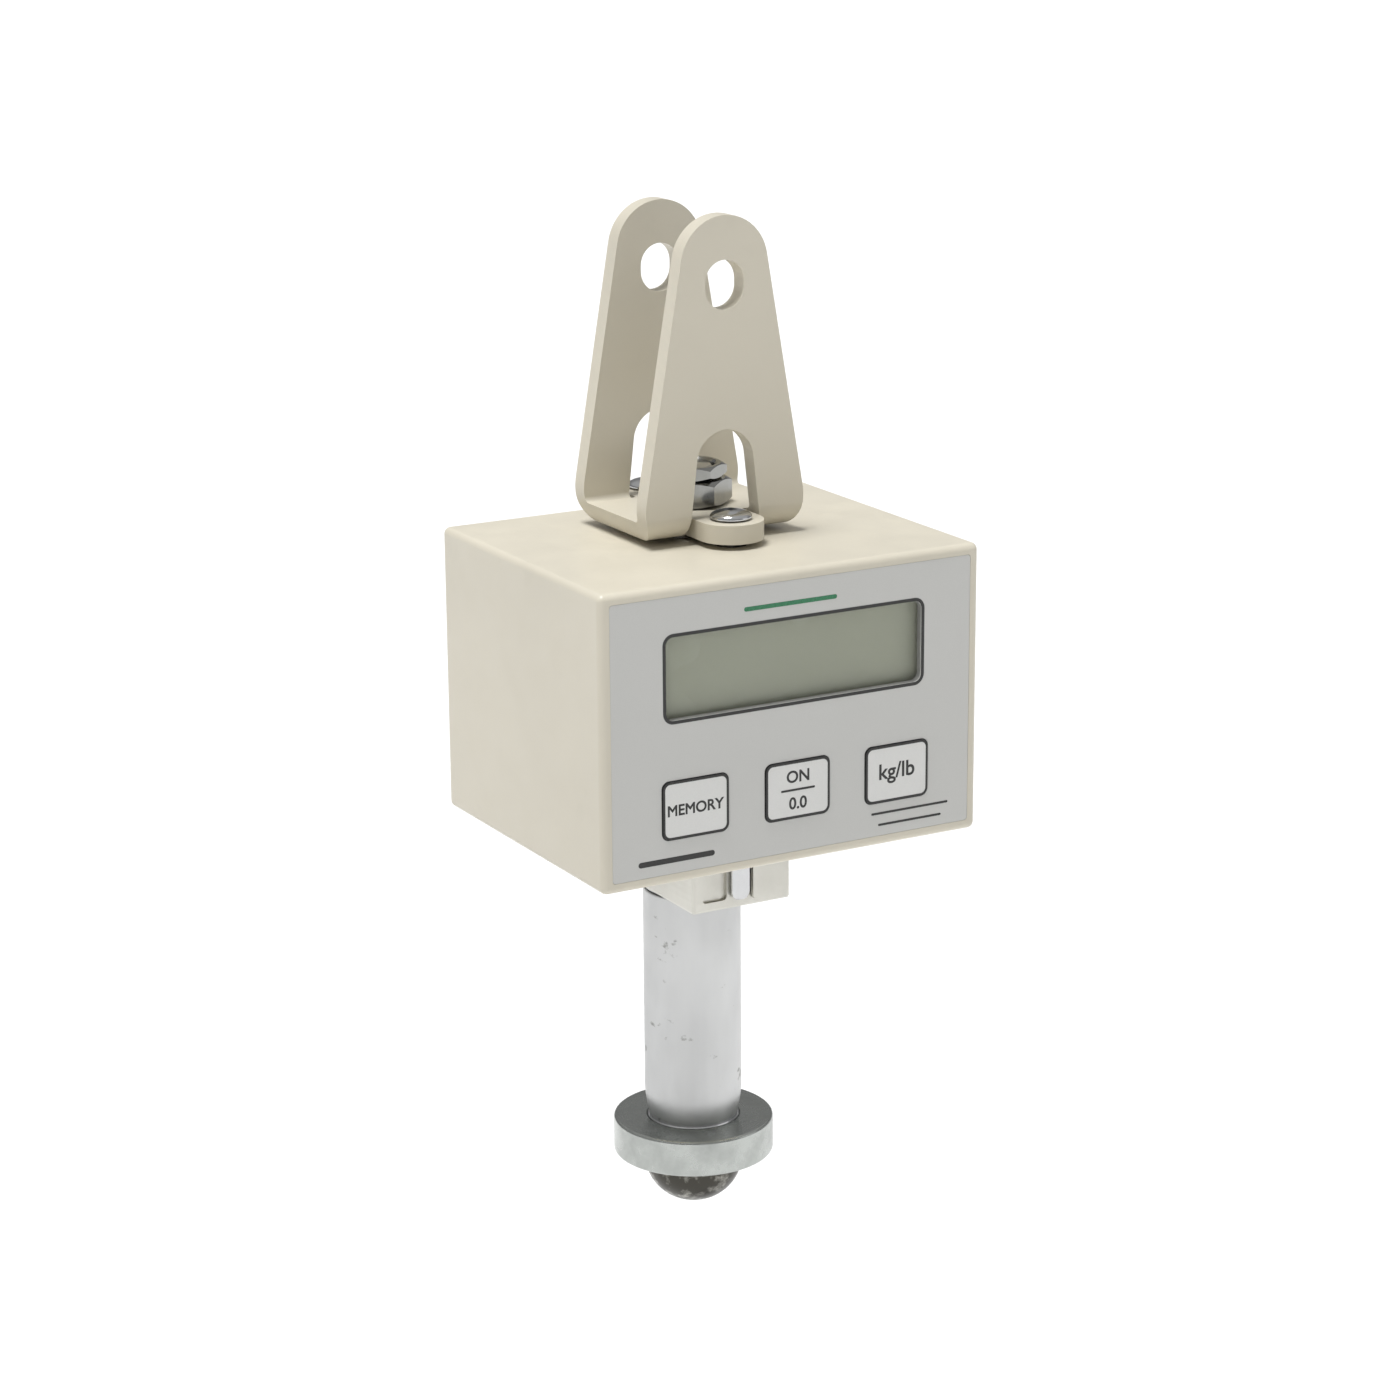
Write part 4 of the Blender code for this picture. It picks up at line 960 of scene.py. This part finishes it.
def front_print():
    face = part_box("front_overlay")[0].y
    printed_line("window_frame", grown(window_box, WINDOW_LINE), SOFT_CORNER + WINDOW_LINE,
                 WINDOW_LINE, face, "scale", black_ink)
    window_corner = (window_box[0][0], window_box[1][1])
    case_foot = (0, case_low.z)
    for name, start, offset, size, surface in (
            ("green_rule", window_corner, GREEN_RULE_AT, GREEN_RULE, green_ink),
            ("short_rule", case_foot, SHORT_RULE_AT, SHORT_RULE, black_ink),
            ("note_rule_upper", case_foot, NOTE_UPPER_AT, NOTE_UPPER, black_ink),
            ("note_rule_lower", case_foot, NOTE_LOWER_AT, NOTE_LOWER, black_ink)):
        centre = (start[0] + offset[0], start[1] + offset[1])
        printed_rule(name, centre, size, face, surface)


def thin_ring(name, box, margins, start, end, surface):
    """A thin ring between two outlines, each a box grown by its own margin."""
    outer, inner = margins
    made = prism(name, soft_rectangle(*grown(box, outer), SOFT_CORNER), "Y", start, end)
    inside = soft_rectangle(*grown(box, inner), SOFT_CORNER)
    cut(made, prism("inside", inside, "Y", start - OVERCUT, end + OVERCUT))
    piece(made, surface, "scale", "black_plastic")


def lining_and_seam_shade():
    """Grey lining of the window's edge, and a black ring in the seam round each key, which is
    painted shade.
    """
    film_back = case_low.y + FILM_INSET + FILM_THICK
    lens_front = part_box("display_lens")[0].y
    thin_ring("window_liner", window_box, WINDOW_LINER, film_back + 0.00002, lens_front - 0.00005,
          liner_grey)
    # painted shade: a black ring in each key's seam, from just behind the film's face
    seam_shade_front = case_low.y + FILM_INSET + SEAM_SHADE_INSET
    for node in KEYS:
        thin_ring(f"{node}_seam_shade", face_box(node), KEY_SEAM_SHADE, seam_shade_front, film_back + SEAM_SHADE_DEPTH,
              slots["black_plastic"])


def rear_cover():
    low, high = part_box("rear_cover")
    outline = soft_rectangle(*face_box("rear_cover"), 0.0006)
    made = prism("cover", outline, "Y", low.y, high.y)
    for number in COVER_SCREWS:
        hole = circle(node_middle(f"rear_cover_screw_{number}", 0, 2), COVER_HOLE_RADIUS, 32)
        cut(made, prism("hole", hole, "Y", low.y - OVERCUT, high.y + OVERCUT))
    bevelled(made, 0.0004, 3, 35)
    piece(made, slots["beige_paint"], "scale", "beige_paint", "rear_cover")


# ---- build ------------------------------------------------------------------------
def repaint_nodes():
    """The CAD nodes that stay get the detailed material of their slot."""
    for part in frame["record"]["subparts"]:
        node = frame["nodes"][part["node"]]
        node.data.materials.clear()
        node.data.materials.append(slots[part["material_slot"]])


def build():
    repaint_nodes()
    clevis()
    button_screw("tab_screw_front", "clevis_screw_front")
    button_screw("tab_screw_rear", "clevis_screw_rear")
    nut("nut_lower", "stud_nut_lower")
    nut("nut_upper", "stud_nut_upper")
    stud()
    case()
    overlay()
    front_print()
    lining_and_seam_shade()
    keys()
    rear_cover()
    for number in COVER_SCREWS:
        cover_screw(number)
    sleeve()
    flange()
    bolt()
    washer("washer_upper", "upper_thrust_washer", "spindle", "polished_steel", sleeve_skin)
    washer("washer_lower", "lower_thrust_washer", "scale", "dark_steel", slots["dark_steel"])


# ---- stage ------------------------------------------------------------------------
FLOOR_DROP = 0.220           # the scale hangs this far above the floor


def stage_floor():
    shape = bmesh.new()
    bmesh.ops.create_circle(shape, cap_ends=True, segments=64, radius=14.0)
    bmesh.ops.translate(shape, vec=(0, 0, cad_box[0].z - FLOOR_DROP), verts=shape.verts)
    floor = from_bmesh("floor", shape)
    pale = Surface("floor_pale", Roughness=0.9, Specular_IOR_Level=0.1)
    pale.colour(pale.mixed(pale.noise(3, 2), (0.84, 0.84, 0.84), (0.86, 0.86, 0.86)))
    floor.data.materials.append(pale.material)


def sky():
    """Soft surroundings: dim above the horizon, bright overhead like a studio ceiling."""
    world = bpy.data.worlds.new("studio")
    world.use_nodes = True
    bpy.context.scene.world = world
    tree = world.node_tree
    back = tree.nodes["Background"]
    place = tree.nodes.new("ShaderNodeTexCoord")
    split = tree.nodes.new("ShaderNodeSeparateXYZ")
    ramp = tree.nodes.new("ShaderNodeValToRGB")
    tree.links.new(place.outputs["Generated"], split.inputs[0])
    tree.links.new(split.outputs["Z"], ramp.inputs["Fac"])
    tree.links.new(ramp.outputs["Color"], back.inputs["Color"])
    stops = ((0.0, 0.75), (0.10, 0.47), (0.35, 0.47), (0.60, 0.90), (1.0, 1.0))
    for index, (spot, level) in enumerate(stops):
        stop = ramp.color_ramp.elements[index] if index < 2 else ramp.color_ramp.elements.new(spot)
        stop.position = spot
        stop.color = (level, level, level, 1.0)
    back.inputs["Strength"].default_value = 0.52


def lamp(name, kind, energy, direction, distance=1.0, **settings):
    light = bpy.data.lights.new(name, kind)
    light.energy = energy
    for setting, value in settings.items():
        setattr(light, setting, value)
    made = linked(name, light)
    away = Vector(direction).normalized()
    target = Vector((0, 0, (case_low.z + case_high.z) / 2))
    made.location = target + away * distance
    made.rotation_euler = away.to_track_quat("Z", "Y").to_euler()


def lights():
    lamp("key", "SUN", 3.12, (-0.20, -0.02, 0.98), angle=radians(18))
    lamp("left_box", "AREA", 0.22, (-1.0, -0.3, 0.40), 1.1, size=0.8)
    lamp("right_box", "AREA", 0.6, (1.0, -0.7, 0.35), 1.1, size=0.6)


def camera():
    data = bpy.data.cameras.new("camera")
    data.lens = LENS
    data.sensor_width = SENSOR
    made = linked("camera", data)
    right = Vector((cos(VIEW_AZIMUTH), sin(VIEW_AZIMUTH), 0))
    level = cos(VIEW_ELEVATION)
    back = Vector((sin(VIEW_AZIMUTH) * level, -cos(VIEW_AZIMUTH) * level, sin(VIEW_ELEVATION)))
    aim = Vector((0, 0, case_high.z - AIM_BELOW_CASE_TOP)) + VIEW_RIGHT * right
    made.location = aim + VIEW_DISTANCE * back
    turn = Matrix.Rotation(VIEW_AZIMUTH, 3, "Z") @ Matrix.Rotation(pi / 2 - VIEW_ELEVATION, 3, "X")
    made.rotation_euler = (turn @ Matrix.Rotation(VIEW_ROLL, 3, "Z")).to_euler()
    bpy.context.scene.camera = made


build()
stage_floor()
sky()
lights()
camera()
bpy.context.scene.view_settings.view_transform = "Standard"
